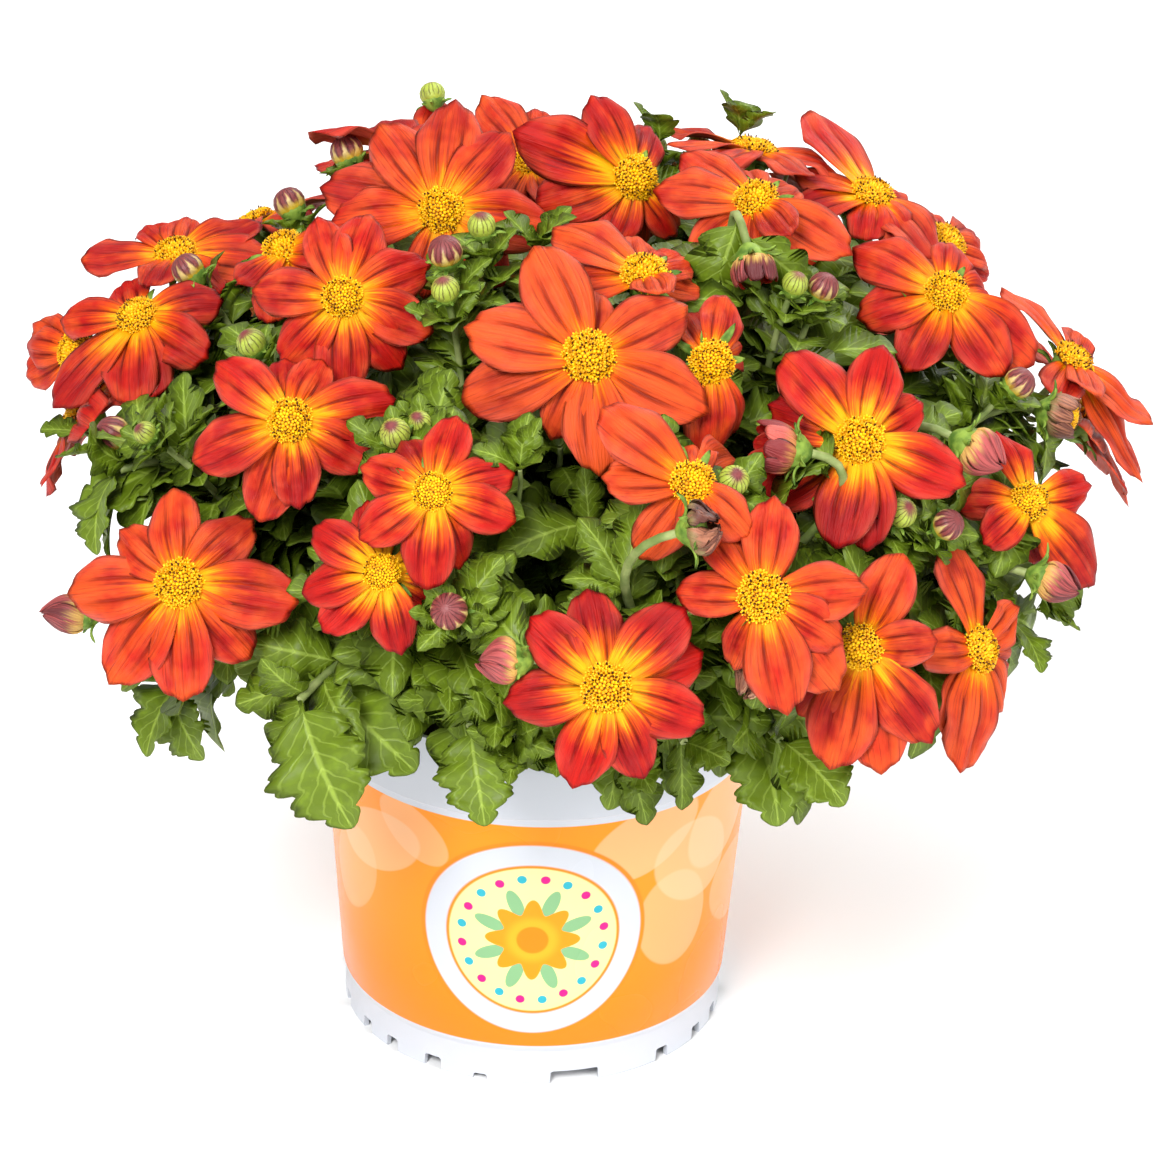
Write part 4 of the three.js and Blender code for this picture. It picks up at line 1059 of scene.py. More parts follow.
class Paint(NodeMaker):
    """Builds one material from expressions on its fields."""

    def __init__(self, name: str) -> None:
        """Starts a material with its one surface shader.

        Args:
            name: The material's name.
        """
        self.material = bpy.data.materials.new(name)
        self.material.use_nodes = True
        self.tree = self.material.node_tree
        self.shader = self.tree.nodes["Principled BSDF"]

    def node(self, kind: str, settings: Optional[dict] = None, inputs: Optional[dict] = None,
             out: Union[str, int] = 0) -> Tone:
        """Adds a node and returns its output for expressions. The arguments are those of add."""
        return Tone(self, self.add(kind, settings, inputs, out))

    def sum_up(self, operation: str, *values: Value) -> Tone:
        """Adds a Math node."""
        return self.node("ShaderNodeMath", {"operation": operation}, dict(enumerate(values)))

    def step(self, value: Value, low: float, high: float) -> Tone:
        """Returns 0 below low, 1 above high and a soft step between them.

        Args:
            value: What is read.
            low: Where the step starts.
            high: Where the step ends.

        Returns:
            The step.
        """
        return self.node(
            "ShaderNodeMapRange",
            {"interpolation_type": "SMOOTHSTEP", "clamp": True},
            {"Value": value, "From Min": low, "From Max": high, "To Min": 0.0, "To Max": 1.0},
        )

    def fall(self, value: Value, low: float, high: float) -> Tone:
        """Returns 1 below low, 0 above high and a soft step between them."""
        return 1.0 - self.step(value, low, high)

    def mix(self, share: Value, first: Value, second: Value, blend: str = "MIX") -> Tone:
        """Returns a mix of two colours.

        Args:
            share: How much of the second.
            first: The first colour.
            second: The second colour.
            blend: How they blend.

        Returns:
            The mix.
        """
        return self.node(
            "ShaderNodeMix",
            {"data_type": "RGBA", "blend_type": blend, "clamp_factor": True},
            {0: share, 6: first, 7: second},
            2,
        )

    def place(self) -> Tone:
        """Returns the place on the object, in metres."""
        return self.node("ShaderNodeTexCoord", out="Object")

    def split(self, vector: Tone) -> list[Tone]:
        """Returns the three numbers of a vector."""
        first = self.add("ShaderNodeSeparateXYZ", inputs={0: vector})
        return [Tone(self, socket) for socket in first.node.outputs]

    def uv(self) -> list[Tone]:
        """Returns the place across and along a petal or leaf."""
        return self.split(self.node("ShaderNodeTexCoord", out="UV"))[:2]

    def mark(self, name: str) -> Tone:
        """Returns an attribute of the mesh."""
        return self.node("ShaderNodeAttribute", {"attribute_name": name}, out="Fac")

    def cloud(self, vector: Tone, scale: float, detail: float = 2.0, rough: float = 0.5) -> Tone:
        """Returns a soft noise.

        Args:
            vector: The place.
            scale: How fine it is.
            detail: How many layers it has.
            rough: How strong the finer layers are.

        Returns:
            The noise.
        """
        return self.node(
            "ShaderNodeTexNoise",
            inputs={"Vector": vector, "Scale": scale, "Detail": detail, "Roughness": rough},
            out="Fac",
        )

    def stretched(self, across: Value, along: Value, extra: Value = 0.0) -> Tone:
        """Returns a vector made of three numbers."""
        return self.node("ShaderNodeCombineXYZ", inputs={0: across, 1: along, 2: extra})

    def bump(self, height: Tone, strength: float, distance: float) -> Tone:
        """Returns a normal bent by a height."""
        inputs = {"Height": height, "Strength": strength, "Distance": distance}
        return self.node("ShaderNodeBump", inputs=inputs, out="Normal")

    def finish(self, **sockets: Value) -> Material:
        """Sets the surface shader's sockets and returns the material."""
        for name, value in sockets.items():
            self.plug(self.shader.inputs[name.replace("_", " ").title().replace("Ior", "IOR")], value)
        return self.material


class Finish:
    """A finish that builds its material once."""

    name = "finish"

    def material(self) -> Material:
        """Returns the material."""
        found = bpy.data.materials.get(self.name)
        return found or self.paint()

    def paint(self) -> Material:
        """Builds the material."""
        raise NotImplementedError


@dataclass(frozen=True)
class PetalFace(Finish):
    """The upper face of a petal: red with a yellow flame, dark red grooves partly of painted shade, and coral
    edges.
    """

    name: str = "petal_face"
    red: Colour = shade_of("b31309")
    wine: Colour = shade_of("7c050e")
    deep: Colour = shade_of("400108")
    coral: Colour = shade_of("d64e1b")
    rim: Colour = shade_of("c6503c")
    orange: Colour = shade_of("e05602")
    yellow: Colour = shade_of("eea602")

    def paint(self) -> Material:
        """Builds the material."""
        paint = Paint(self.name)
        u, v = paint.uv()
        shade = paint.mark("shade")
        tint = paint.mark("tint")
        across = abs(u * 2.0 - 1.0)
        fibres = paint.cloud(paint.stretched(u * 30.0, v * 1.5, shade * 40.0), 1.0, 3.0, 0.6)
        fine = paint.cloud(paint.stretched(u * 90.0, v * 5.0, shade * 9.0), 1.0, 2.0)
        patches = paint.cloud(paint.stretched(u * 3.0, v * 3.2, shade * 17.0), 1.0, 2.0)
        body = paint.mix(paint.step(tint * 0.9 + (patches - 0.5) * 1.3, 0.15, 0.85), self.red, self.coral)
        # Some petals turn towards wine red by their draw: painted shade for petals in shadow, placed at
        # random.
        random_petal_shade = paint.step(shade * 0.8 + (0.5 - patches) * 1.2, 0.3, 1.0) * (0.75 - tint * 0.4)
        body = paint.mix(random_petal_shade, body, self.wine)
        edge = paint.step(across * 0.8 + fibres * 0.3 + v * 0.5, 0.9, 1.4)
        body = paint.mix(edge * (0.5 + tint * 0.4), body, self.rim)
        # Broad wine-red bands along the groove valleys: partly the petal's own colour, partly painted shade
        # in the creases.
        valley_red_and_shade = paint.fall(abs(across - 0.36) + (patches - 0.5) * 0.2, 0.0, 0.3)
        body = paint.mix(valley_red_and_shade * paint.step(v, 0.15, 0.3) * (0.65 - v * 0.45), body, self.wine)
        groove = paint.fall(abs(across - 0.33) + (fibres - 0.5) * 0.12 + v * 0.03, 0.02, 0.095)
        groove = groove * paint.step(v, 0.1, 0.22) * paint.fall(v + fibres * 0.2, 0.62, 0.98)
        broken = paint.step(patches + fine * 0.5, 0.55, 0.95) * 0.6 + 0.4
        rib = paint.fall(across, 0.0, 0.05) * paint.step(v, 0.2, 0.4) * paint.fall(v, 0.6, 0.9)
        body = paint.mix(paint.step(fibres, 0.5, 0.72) * 0.5, body, self.deep)
        reach = v + across * 0.14 + (fibres - 0.5) * 0.5 + (patches - 0.5) * 0.3 + tint * 0.26 - 0.17
        body = paint.mix(paint.fall(reach, 0.16, 0.52), body, self.orange)
        body = paint.mix(paint.fall(reach, 0.04, 0.3), body, self.yellow)
        # Thin deep red line in each groove: partly the petal's own streak, partly painted shade in the
        # crease.
        body = paint.mix(groove * broken * (0.85 - tint * 0.25), body, self.deep)
        body = paint.mix(rib * (0.35 - tint * 0.2), body, self.deep)
        return paint.finish(
            base_color=body,
            roughness=0.40 + fine * 0.2,
            normal=paint.bump(fibres + fine * 0.4 - groove * 1.2, 0.6, 0.0007),
            specular_ior_level=0.18,
        )


@dataclass(frozen=True)
class PetalBack(Finish):
    """The underside of a petal: dull coral with fine lengthwise veins."""

    name: str = "petal_back"
    coral: Colour = shade_of("d4624a")
    dull: Colour = shade_of("96281f")

    def paint(self) -> Material:
        """Builds the material."""
        paint = Paint(self.name)
        u, v = paint.uv()
        shade = paint.mark("shade")
        fibres = paint.cloud(paint.stretched(u * 26.0, v * 1.4, shade * 31.0), 1.0, 3.0, 0.6)
        body = paint.mix(fibres, self.dull, self.coral)
        body = paint.mix(paint.fall(v, 0.1, 0.4) * 0.7, body, shade_of("e59a2c"))
        return paint.finish(
            base_color=body,
            roughness=0.6,
            normal=paint.bump(fibres, 0.3, 0.0005),
            specular_ior_level=0.35,
        )


@dataclass(frozen=True)
class Speckled(Finish):
    """A finish of two colours that change with a noise over the object."""

    name: str = "speckled"
    first: Colour = (0.5, 0.5, 0.5)
    second: Colour = (0.2, 0.2, 0.2)
    scale: float = 300.0
    low: float = 0.35
    high: float = 0.65
    roughness: float = 0.6
    height: float = 0.0003

    def paint(self) -> Material:
        """Builds the material."""
        paint = Paint(self.name)
        grain = paint.cloud(paint.place(), self.scale, 3.0)
        body = paint.mix(paint.step(grain, self.low, self.high), self.first, self.second)
        return paint.finish(
            base_color=body,
            roughness=self.roughness + (grain - 0.5) * 0.2,
            normal=paint.bump(grain, 0.4, self.height),
            specular_ior_level=0.3,
        )


@dataclass(frozen=True)
class LeafFace(Finish):
    """The upper face of a leaf: green with a pale midrib and side veins, painted lighter or darker by the
    leaf's place, and a soft gloss.
    """

    name: str = "leaf_face"
    dark: Colour = shade_of("5a6e12")
    green: Colour = shade_of("b2da20")
    cool: Colour = shade_of("74a42c")
    pale: Colour = shade_of("cce668")
    slant: float = 0.32
    veins: float = 7.0

    def paint(self) -> Material:
        """Builds the material."""
        paint = Paint(self.name)
        u, v = paint.uv()
        shade = paint.mark("shade")
        across = abs(u * 2.0 - 1.0)
        grain = paint.cloud(paint.place(), 260.0, 3.0)
        puckers = paint.cloud(paint.stretched(u * 5.0, v * 9.0, shade * 23.0), 1.0, 2.0)
        phase = (v - across * self.slant) * self.veins
        wave = abs(paint.sum_up("FRACT", phase) - 0.5)
        side = paint.fall(wave, 0.03, 0.12) * (1.0 - across * 0.5)
        rib = paint.fall(across, 0.02, 0.09)
        # Dark to green by puckers and the shade mark; on leaves the shade mark holds painted light, darker
        # far out on the mound and lighter inside.
        body = paint.mix(paint.step(puckers * 0.5 + shade * 0.8, 0.2, 0.9), self.dark, self.green)
        body = paint.mix(paint.step(paint.mark("tint"), 0.4, 1.0) * 0.7, body, self.cool)
        # Pale flecks: partly the leaf's own mottle, partly painted highlight, more of it on lighter leaves.
        body = paint.mix(paint.step(grain + shade * 0.3, 0.6, 1.0) * 0.4, body, self.pale)
        body = paint.mix(side * 0.16, body, self.pale)
        body = paint.mix(rib * 0.25, body, self.pale)
        height = puckers * 0.8 - side * 0.5 - rib * 0.7 + grain * 0.12
        return paint.finish(
            base_color=body,
            roughness=0.36 + grain * 0.22,
            normal=paint.bump(height, 0.35, 0.0007),
            specular_ior_level=0.3,
        )


@dataclass(frozen=True)
class BudSkin(Finish):
    """The skin of a bud: maroon petals over a cream and olive foot, or green ones on a young bud."""

    name: str = "bud_skin"
    maroon: Colour = shade_of("7c3434")
    cream: Colour = shade_of("dcc478")
    green: Colour = shade_of("a4b440")
    olive: Colour = shade_of("c8a81c")
    seam: Colour = shade_of("451416")
    petals: float = 8.0

    def paint(self) -> Material:
        """Builds the material."""
        paint = Paint(self.name)
        u, v = paint.uv()
        grain = paint.cloud(paint.place(), 500.0, 2.0)
        turn = paint.sum_up("FRACT", u * self.petals + (grain - 0.5) * 0.3)
        away = abs(turn - 0.5) * 2.0
        young = paint.mark("tint")
        wedge = paint.step(away * 1.2 + (grain - 0.5) * 0.5 - v * 1.9, -0.4, 0.1)
        crease = abs(away - 0.42)
        # Dark lines along the creases between the bud's petals: partly their own colour, partly painted
        # shade.
        seam = paint.fall(crease, 0.04, 0.14) * paint.step(v, 0.3, 0.5)
        body = paint.mix(wedge * 0.8, self.maroon, self.cream)
        body = paint.mix(paint.fall(v + grain * 0.3, 0.35, 0.65), body, self.olive)
        body = paint.mix(young * paint.fall(v + grain * 0.3, 0.85, 1.15), body, self.green)
        # Dark flecks of the skin, and the crease lines with their painted shade.
        body = paint.mix(paint.step(grain, 0.45, 0.75) * 0.35 + seam * 0.6, body, self.seam)
        normal = paint.bump(grain - seam * 1.5, 0.6, 0.0006)
        return paint.finish(base_color=body, roughness=0.5, normal=normal)


@dataclass(frozen=True)
class FoldedPetal(Finish):
    """The outside of a folded or wilted petal, with lengthwise folds darker in their valleys, partly by
    painted shade, and a paler foot.
    """

    name: str = "folded_petal"
    light: Colour = shade_of("b04c4a")
    dark: Colour = shade_of("5e181c")
    foot: Colour = shade_of("e0b45c")

    def paint(self) -> Material:
        """Builds the material."""
        paint = Paint(self.name)
        u, v = paint.uv()
        shade = paint.mark("shade")
        folds = paint.cloud(paint.stretched(u * 12.0, v * 1.2, shade * 19.0), 1.0, 3.0)
        # Darker where the folds are low, as in the bump: partly the petal's own colour, partly painted shade.
        body = paint.mix(paint.step(folds + (shade - 0.5) * 0.4, 0.35, 0.68), self.dark, self.light)
        body = paint.mix(paint.fall(v + (folds - 0.5) * 0.7, 0.16, 0.5) * 0.85, body, self.foot)
        return paint.finish(base_color=body, roughness=0.55, normal=paint.bump(folds, 0.7, 0.0012))


@dataclass(frozen=True)
class PotPlastic(Finish):
    """White moulded plastic that carries the printed orange band."""

    name: str = "pot_plastic"
    white: Colour = shade_of("c8ccd4")
    orange: Colour = shade_of("f9900c")
    rich: Colour = shade_of("f28002")
    cream: Colour = shade_of("f6c79c")
    leaf: Colour = shade_of("7fae7c")
    sun: Colour = shade_of("efe39a")
    core: Colour = shade_of("f2a51e")
    pink: Colour = shade_of("d4127e")
    teal: Colour = shade_of("2aa6b8")
    bead_ring: float = 19.2
    beads: float = 20.0
    badge_turn: float = math.radians(0.4)
    badge_height: float = 46.5
    badge_radius: float = 31.0
    soft_edge: float = 0.35
    leaves: int = 8
    leaf_ring: float = 12.0

    def paint(self) -> Material:
        """Builds the material."""
        paint = Paint(self.name)
        place = paint.node("ShaderNodeVectorMath", {"operation": "SUBTRACT"},
                           {0: paint.place(), 1: (POT.axis_x * MM, 0.0, 0.0)})
        x, y, z = paint.split(place)
        z = z * (1 / MM)
        turn = paint.sum_up("ARCTAN2", x, y * -1.0)
        arc = (turn - self.badge_turn) * ((POT.wall_top_radius + POT.wall_foot_radius) / 2)
        rise = z - self.badge_height
        band = paint.step(z, POT.band_foot + 0.7, POT.band_foot + 1.0)
        band = band * paint.fall(z, POT.band_top - 0.15, POT.band_top + 0.15)
        ink = paint.mix(paint.step(z, 16.0, 70.0), self.rich, self.orange)
        ink = self.facets(paint, ink, arc, z)
        ink = self.badge(paint, ink, arc, rise)
        colour = paint.mix(band, self.white, ink)
        grain = paint.cloud(paint.place(), 900.0, 2.0)
        soft = paint.cloud(paint.place(), 22.0, 2.0)
        return paint.finish(
            base_color=colour,
            roughness=0.30 + (soft - 0.5) * 0.12 - band * 0.04,
            normal=paint.bump(grain * 0.3 + soft * 0.6 + band * 0.8, 0.2, 0.0002),
            specular_ior_level=0.25,
            coat_weight=0.12,
            coat_roughness=0.15,
        )

    def disc(self, paint: Paint, reach: Tone, radius: float) -> Tone:
        """Returns 1 inside a circle, by the distance from its middle."""
        return paint.fall(reach, radius - self.soft_edge, radius + self.soft_edge)

    def oval(self, paint: Paint, arc: Tone, rise: Tone, form: Sequence[float]) -> Tone:
        """Returns 1 inside a turned oval, given as its middle, half sizes and turn in degrees.

        Args:
            paint: The material being built.
            arc: The place round the wall, in millimetres.
            rise: The place above the badge's middle, in millimetres.
            form: Its middle, half sizes and turn in degrees.

        Returns:
            The mask.
        """
        mid_arc, mid_rise, long, wide, turn = form
        c = math.cos(math.radians(turn))
        s = math.sin(math.radians(turn))
        a = arc - mid_arc
        b = rise - mid_rise
        along = (a * c + b * s) / long
        across = (b * c - a * s) / wide
        return paint.fall(along * along + across * across, 0.93, 1.07)

    def facets(self, paint: Paint, ink: Tone, arc: Tone, z: Tone) -> Tone:
        """Lays pale see-through shapes over the orange, mostly high up and to the right.

        Args:
            paint: The material being built.
            ink: The colour so far.
            arc: The place round the wall, in millimetres.
            z: The height, in millimetres.

        Returns:
            The colour with the shapes.
        """
        shapes = (
            ((-46.0, 66.0, 16.0, 9.0, 20.0), 0.45), ((-33.0, 74.0, 12.0, 7.0, -35.0), 0.4),
            ((30.0, 74.0, 17.0, 10.0, 25.0), 0.5), ((47.0, 62.0, 15.0, 12.0, -30.0), 0.5),
            ((41.0, 46.0, 12.0, 15.0, 15.0), 0.4), ((60.0, 72.0, 18.0, 13.0, 40.0), 0.5),
            ((-58.0, 52.0, 15.0, 10.0, 60.0), 0.3), ((72.0, 44.0, 16.0, 12.0, -20.0), 0.35),
        )
        for shape, depth in shapes:
            mask = self.oval(paint, arc, z, shape)
            ink = paint.mix(mask * depth, ink, self.cream)
        return ink

    def badge(self, paint: Paint, ink: Tone, arc: Tone, rise: Tone) -> Tone:
        """Draws a plain round medallion with one flower, eight leaves and a ring of dots.

        Args:
            paint: The material being built.
            ink: The colour so far.
            arc: The place round the wall, in millimetres.
            rise: The place above the badge's middle, in millimetres.

        Returns:
            The colour with the medallion.
        """
        reach = (arc * arc + rise * rise) ** 0.5
        for inset, colour in ((0.0, self.rich), (1.3, self.white), (7.5, self.rich), (8.4, self.sun)):
            ink = paint.mix(self.disc(paint, reach, self.badge_radius - inset), ink, colour)
        turn = paint.sum_up("ARCTAN2", arc, rise)
        part = paint.sum_up("FRACT", turn * (self.beads / TAU) + self.beads) - 0.5
        aside = part * (TAU * self.bead_ring / self.beads)
        away = reach - self.bead_ring
        bead = paint.fall((aside * aside + away * away) ** 0.5, 1.1, 1.4)
        pair = paint.sum_up("FRACT", turn * (self.beads / 2 / TAU) + self.beads)
        ink = paint.mix(bead, ink, paint.mix(paint.step(pair, 0.49, 0.51), self.pink, self.teal))
        for k in range(self.leaves):
            slope = TAU * (k + 0.5) / self.leaves
            middle = (self.leaf_ring * math.cos(slope), self.leaf_ring * math.sin(slope))
            leaf = self.oval(paint, arc, rise, (*middle, 4.6, 1.9, math.degrees(slope)))
            ink = paint.mix(leaf, ink, self.leaf)
        scallop = paint.sum_up("COSINE", turn * 8.0)
        bloom = paint.fall(reach - scallop * 2.2, 10.3, 10.6)
        ink = paint.mix(bloom, ink, self.orange)
        ink = paint.mix(bloom * paint.fall(reach, 5.2, 8.4), ink, self.core)
        return paint.mix(self.disc(paint, reach, 4.2), ink, self.rich)


class Shape:
    """Collects the faces of one piece, with their finish, flat places and marks. Sizes are millimetres."""

    def __init__(self) -> None:
        """Starts with no faces."""
        self.points: list[np.ndarray] = []
        self.marks: list[np.ndarray] = []
        self.faces: list[Sequence[int]] = []
        self.flats: list[np.ndarray] = []
        self.slots: list[int] = []
        self.finishes: list[Finish] = []
        self.count = 0

    def add_points(self, points: np.ndarray, marks: Marks = (0.0, 0.0)) -> np.ndarray:
        """Adds points with their marks.

        Args:
            points: The places, in any number of rows.
            marks: The draw that varies a finish from copy to copy, and how pale the finish is.

        Returns:
            The points' numbers, in the same rows.
        """
        count = int(np.prod(points.shape[:-1]))
        index = self.count + np.arange(count).reshape(points.shape[:-1])
        self.points.append(points.reshape(-1, 3))
        self.marks.append(np.tile(marks, (count, 1)))
        self.count += count
        return index

    def add_faces(self, faces: np.ndarray, flats: np.ndarray, finish: Finish) -> None:
        """Adds faces by their points' numbers, each with its corners' flat places.

        Args:
            faces: The points' numbers.
            flats: The corners' flat places.
            finish: The finish.
        """
        if finish not in self.finishes:
            self.finishes.append(finish)
        self.faces.extend(faces.tolist())
        self.flats.append(flats.reshape(-1, 2))
        self.slots.extend([self.finishes.index(finish)] * len(faces))

    def skin(self, index: np.ndarray, finish: Finish, ring: bool = False, flip: bool = False) -> None:
        """Covers rows of points with faces.

        Args:
            index: The points' numbers in rows and columns.
            finish: The faces' finish.
            ring: Whether the last column meets the first.
            flip: Whether the faces point away from row direction cross column direction.
        """
        if ring:
            index = np.concatenate([index, index[:, :1]], axis=1)
        rows, columns = index.shape
        v, u = np.meshgrid(np.linspace(0, 1, rows), np.linspace(0, 1, columns), indexing="ij")
        flat = np.stack([u, v], axis=-1)
        corners = [(slice(None, -1), slice(None, -1)), (slice(1, None), slice(None, -1)),
                   (slice(1, None), slice(1, None)), (slice(None, -1), slice(1, None))]
        if flip:
            corners.reverse()
        faces = np.stack([index[corner] for corner in corners], axis=-1).reshape(-1, 4)
        flats = np.stack([flat[corner] for corner in corners], axis=-2)
        self.add_faces(faces, flats, finish)

    def pole(self, ring: np.ndarray, point: Point, finish: Finish, v: float, flip: bool = False,
             marks: Marks = (0.0, 0.0)) -> None:
        """Closes a ring of points with a fan.

        Args:
            ring: The ring's point numbers.
            point: The fan's middle.
            finish: The finish.
            v: The middle's flat height.
            flip: Whether the faces point the other way.
            marks: As for add_points.
        """
        middle = int(self.add_points(point[None, :], marks)[0])
        after = np.roll(ring, -1)
        faces = np.stack([np.full(len(ring), middle), *((after, ring) if flip else (ring, after))], axis=-1)
        u = np.arange(len(ring)) / len(ring)
        flats = np.stack([np.stack([u, np.full(len(ring), v)], axis=-1)] * 3, axis=1)
        self.add_faces(faces, flats, finish)

    def lathe(self, place: Place, profile: Sequence[Pair], columns: int, finish: Finish,
              marks: Marks = (0.0, 0.0)) -> None:
        """Adds a turned form about a place's z.

        Args:
            place: Where it stands.
            profile: Radius and height from its foot round to its top. An end at radius 0 is a pole.
            columns: How many faces go round.
            finish: The finish.
            marks: As for add_points.
        """
        rings = np.stack([ring(r, z, columns) for r, z in profile if r > 0])
        index = self.add_points(place.world(rings), marks)
        self.skin(index, finish, ring=True, flip=True)
        if profile[0][0] <= 0:
            self.pole(index[0], place.moved(profile[0][1]).origin, finish, 0.0, True, marks)
        if profile[-1][0] <= 0:
            self.pole(index[-1], place.moved(profile[-1][1]).origin, finish, 1.0, False, marks)

    def blade(self, top: np.ndarray, thickness: float, face: Finish, back: Finish,
              marks: Marks = (0.0, 0.0)) -> None:
        """Adds a thin closed blade, such as a petal.

        Args:
            top: Its upper side in rows and columns.
            thickness: How far the underside lies below, but for the border, which both sides share.
            face: The finish of the upper side.
            back: The finish of the underside.
            marks: As for add_points.
        """
        normal = np.cross(np.gradient(top, axis=0), np.gradient(top, axis=1))
        normal /= np.maximum(np.linalg.norm(normal, axis=-1, keepdims=True), 1e-9)
        upper = self.add_points(top, marks)
        lower = upper.copy()
        inner = (top - normal * thickness)[1:-1, 1:-1]
        lower[1:-1, 1:-1] = self.add_points(inner, marks)
        self.skin(upper, face)
        self.skin(lower, back, flip=True)

    def make(self, name: str) -> Piece:
        """Makes the piece.

        Args:
            name: The piece's name.

        Returns:
            The object, at the origin, with smooth faces.
        """
        mesh = bpy.data.meshes.new(name)
        mesh.from_pydata((np.concatenate(self.points) * MM).tolist(), [], self.faces)
        layer = mesh.uv_layers.new(name="UVMap")
        layer.data.foreach_set("uv", np.concatenate(self.flats).ravel())
        mesh.polygons.foreach_set("material_index", self.slots)
        mesh.polygons.foreach_set("use_smooth", [True] * len(self.faces))
        marks = np.concatenate(self.marks)
        for column, label in enumerate(("shade", "tint")):
            put_marks(mesh, label, marks[:, column])
        for finish in self.finishes:
            mesh.materials.append(finish.material())
        mesh.update()
        return link(name, mesh)


def link(name: str, mesh: bpy.types.Mesh) -> Piece:
    """Returns a new object in the scene."""
    piece = bpy.data.objects.new(name, mesh)
    bpy.context.collection.objects.link(piece)
    return piece


def evaluated(piece: Piece) -> bpy.types.Mesh:
    """Returns a plain mesh of a piece with its modifiers."""
    bpy.context.view_layer.update()
    graph = bpy.context.evaluated_depsgraph_get()
    return bpy.data.meshes.new_from_object(piece.evaluated_get(graph))


def put_marks(mesh: bpy.types.Mesh, label: str, values: Sequence[float]) -> None:
    """Gives a mesh's points one number each."""
    mesh.attributes.new(label, "FLOAT", "POINT").data.foreach_set("value", values)


def report(piece: Piece) -> None:
    """Logs a finished piece with its number of triangles."""
    count = sum(len(face.vertices) - 2 for face in piece.data.polygons)
    LOG.info("%s: %d triangles", piece.name, count)


class Tree(NodeMaker):
    """Builds one Geometry Nodes tree with named inputs, and runs it."""

    def __init__(self, name: str, inputs: dict[str, str]) -> None:
        """Starts the tree.

        Args:
            name: The tree's name.
            inputs: Its named inputs, each with the type of its socket.
        """
        self.tree = bpy.data.node_groups.new(name, "GeometryNodeTree")
        sides = self.tree.interface
        sides.new_socket("Geometry", in_out="INPUT", socket_type="NodeSocketGeometry")
        for label, kind in inputs.items():
            sides.new_socket(label, in_out="INPUT", socket_type=kind)
        sides.new_socket("Geometry", in_out="OUTPUT", socket_type="NodeSocketGeometry")
        self.start = self.tree.nodes.new("NodeGroupInput")
        self.end = self.tree.nodes.new("NodeGroupOutput")

    def mark(self, label: str, kind: str = "FLOAT") -> Socket:
        """Returns an attribute of the points."""
        return self.add("GeometryNodeInputNamedAttribute", {"data_type": kind}, {"Name": label})

    def close(self, geometry: Socket) -> None:
        """Ends the tree in plain geometry with its finish.

        Args:
            geometry: What the tree has made.
        """
        real = self.add("GeometryNodeRealizeInstances", inputs={"Geometry": geometry})
        finish = self.start.outputs["Finish"]
        dressed = self.add("GeometryNodeSetMaterial", inputs={"Geometry": real, "Material": finish})
        self.plug(self.end.inputs["Geometry"], dressed)

    def run(self, source: Piece, values: dict[str, object]) -> bpy.types.Mesh:
        """Runs the tree on an object, which is removed.

        Args:
            source: The object that the tree reads.
            values: The named inputs.

        Returns:
            The result as a plain mesh.
        """
        modifier = source.modifiers.new("tree", "NODES")
        modifier.node_group = self.tree
        for item in self.tree.interface.items_tree:
            if item.in_out == "INPUT" and item.name in values:
                modifier[item.identifier] = values[item.name]
        mesh = evaluated(source)
        source.modifiers.clear()
        bpy.data.objects.remove(source)
        return mesh


class Scatter:
    """Sets copies of a small template on points."""

    def __init__(self) -> None:
        """Builds the tree."""
        self.tree = Tree("scatter", {"Template": "NodeSocketObject", "Finish": "NodeSocketMaterial"})
        tree = self.tree
        original = {"Object": tree.start.outputs["Template"]}
        template = tree.add("GeometryNodeObjectInfo", inputs=original, out="Geometry")
        turn = tree.add("FunctionNodeEulerToRotation", inputs={"Euler": tree.mark("turn", "FLOAT_VECTOR")})
        tree.close(tree.add("GeometryNodeInstanceOnPoints", inputs={
            "Points": tree.start.outputs["Geometry"],
            "Instance": template,
            "Rotation": turn,
            "Scale": tree.mark("size"),
        }))

    def run(self, name: str, spots: Sequence["Spot"], template: Shape, finish: Finish) -> Piece:
        """Returns one piece of all copies.

        Args:
            name: The piece's name.
            spots: Where the copies go.
            template: The copied shape.
            finish: The finish of all copies.
        """
        mesh = bpy.data.meshes.new(name)
        mesh.from_pydata([tuple(spot.place.origin * MM) for spot in spots], [], [])
        turns = mesh.attributes.new("turn", "FLOAT_VECTOR", "POINT")
        turns.data.foreach_set("vector", [value for spot in spots for value in spot.place.euler()])
        for label in ("size", "shade", "tint"):
            put_marks(mesh, label, [getattr(spot, label) for spot in spots])
        original = template.make(f"{name}_template")
        points = link(f"{name}_points", mesh)
        result = self.tree.run(points, {"Template": original, "Finish": finish.material()})
        bpy.data.objects.remove(original)
        return link(name, result)


@dataclass
class Spot:
    """Where one copy of a template goes."""

    place: Place
    size: float
    # On leaves the shade also holds painted light from the leaf's place on the mound.
    shade: float = 0.0
    tint: float = 0.0


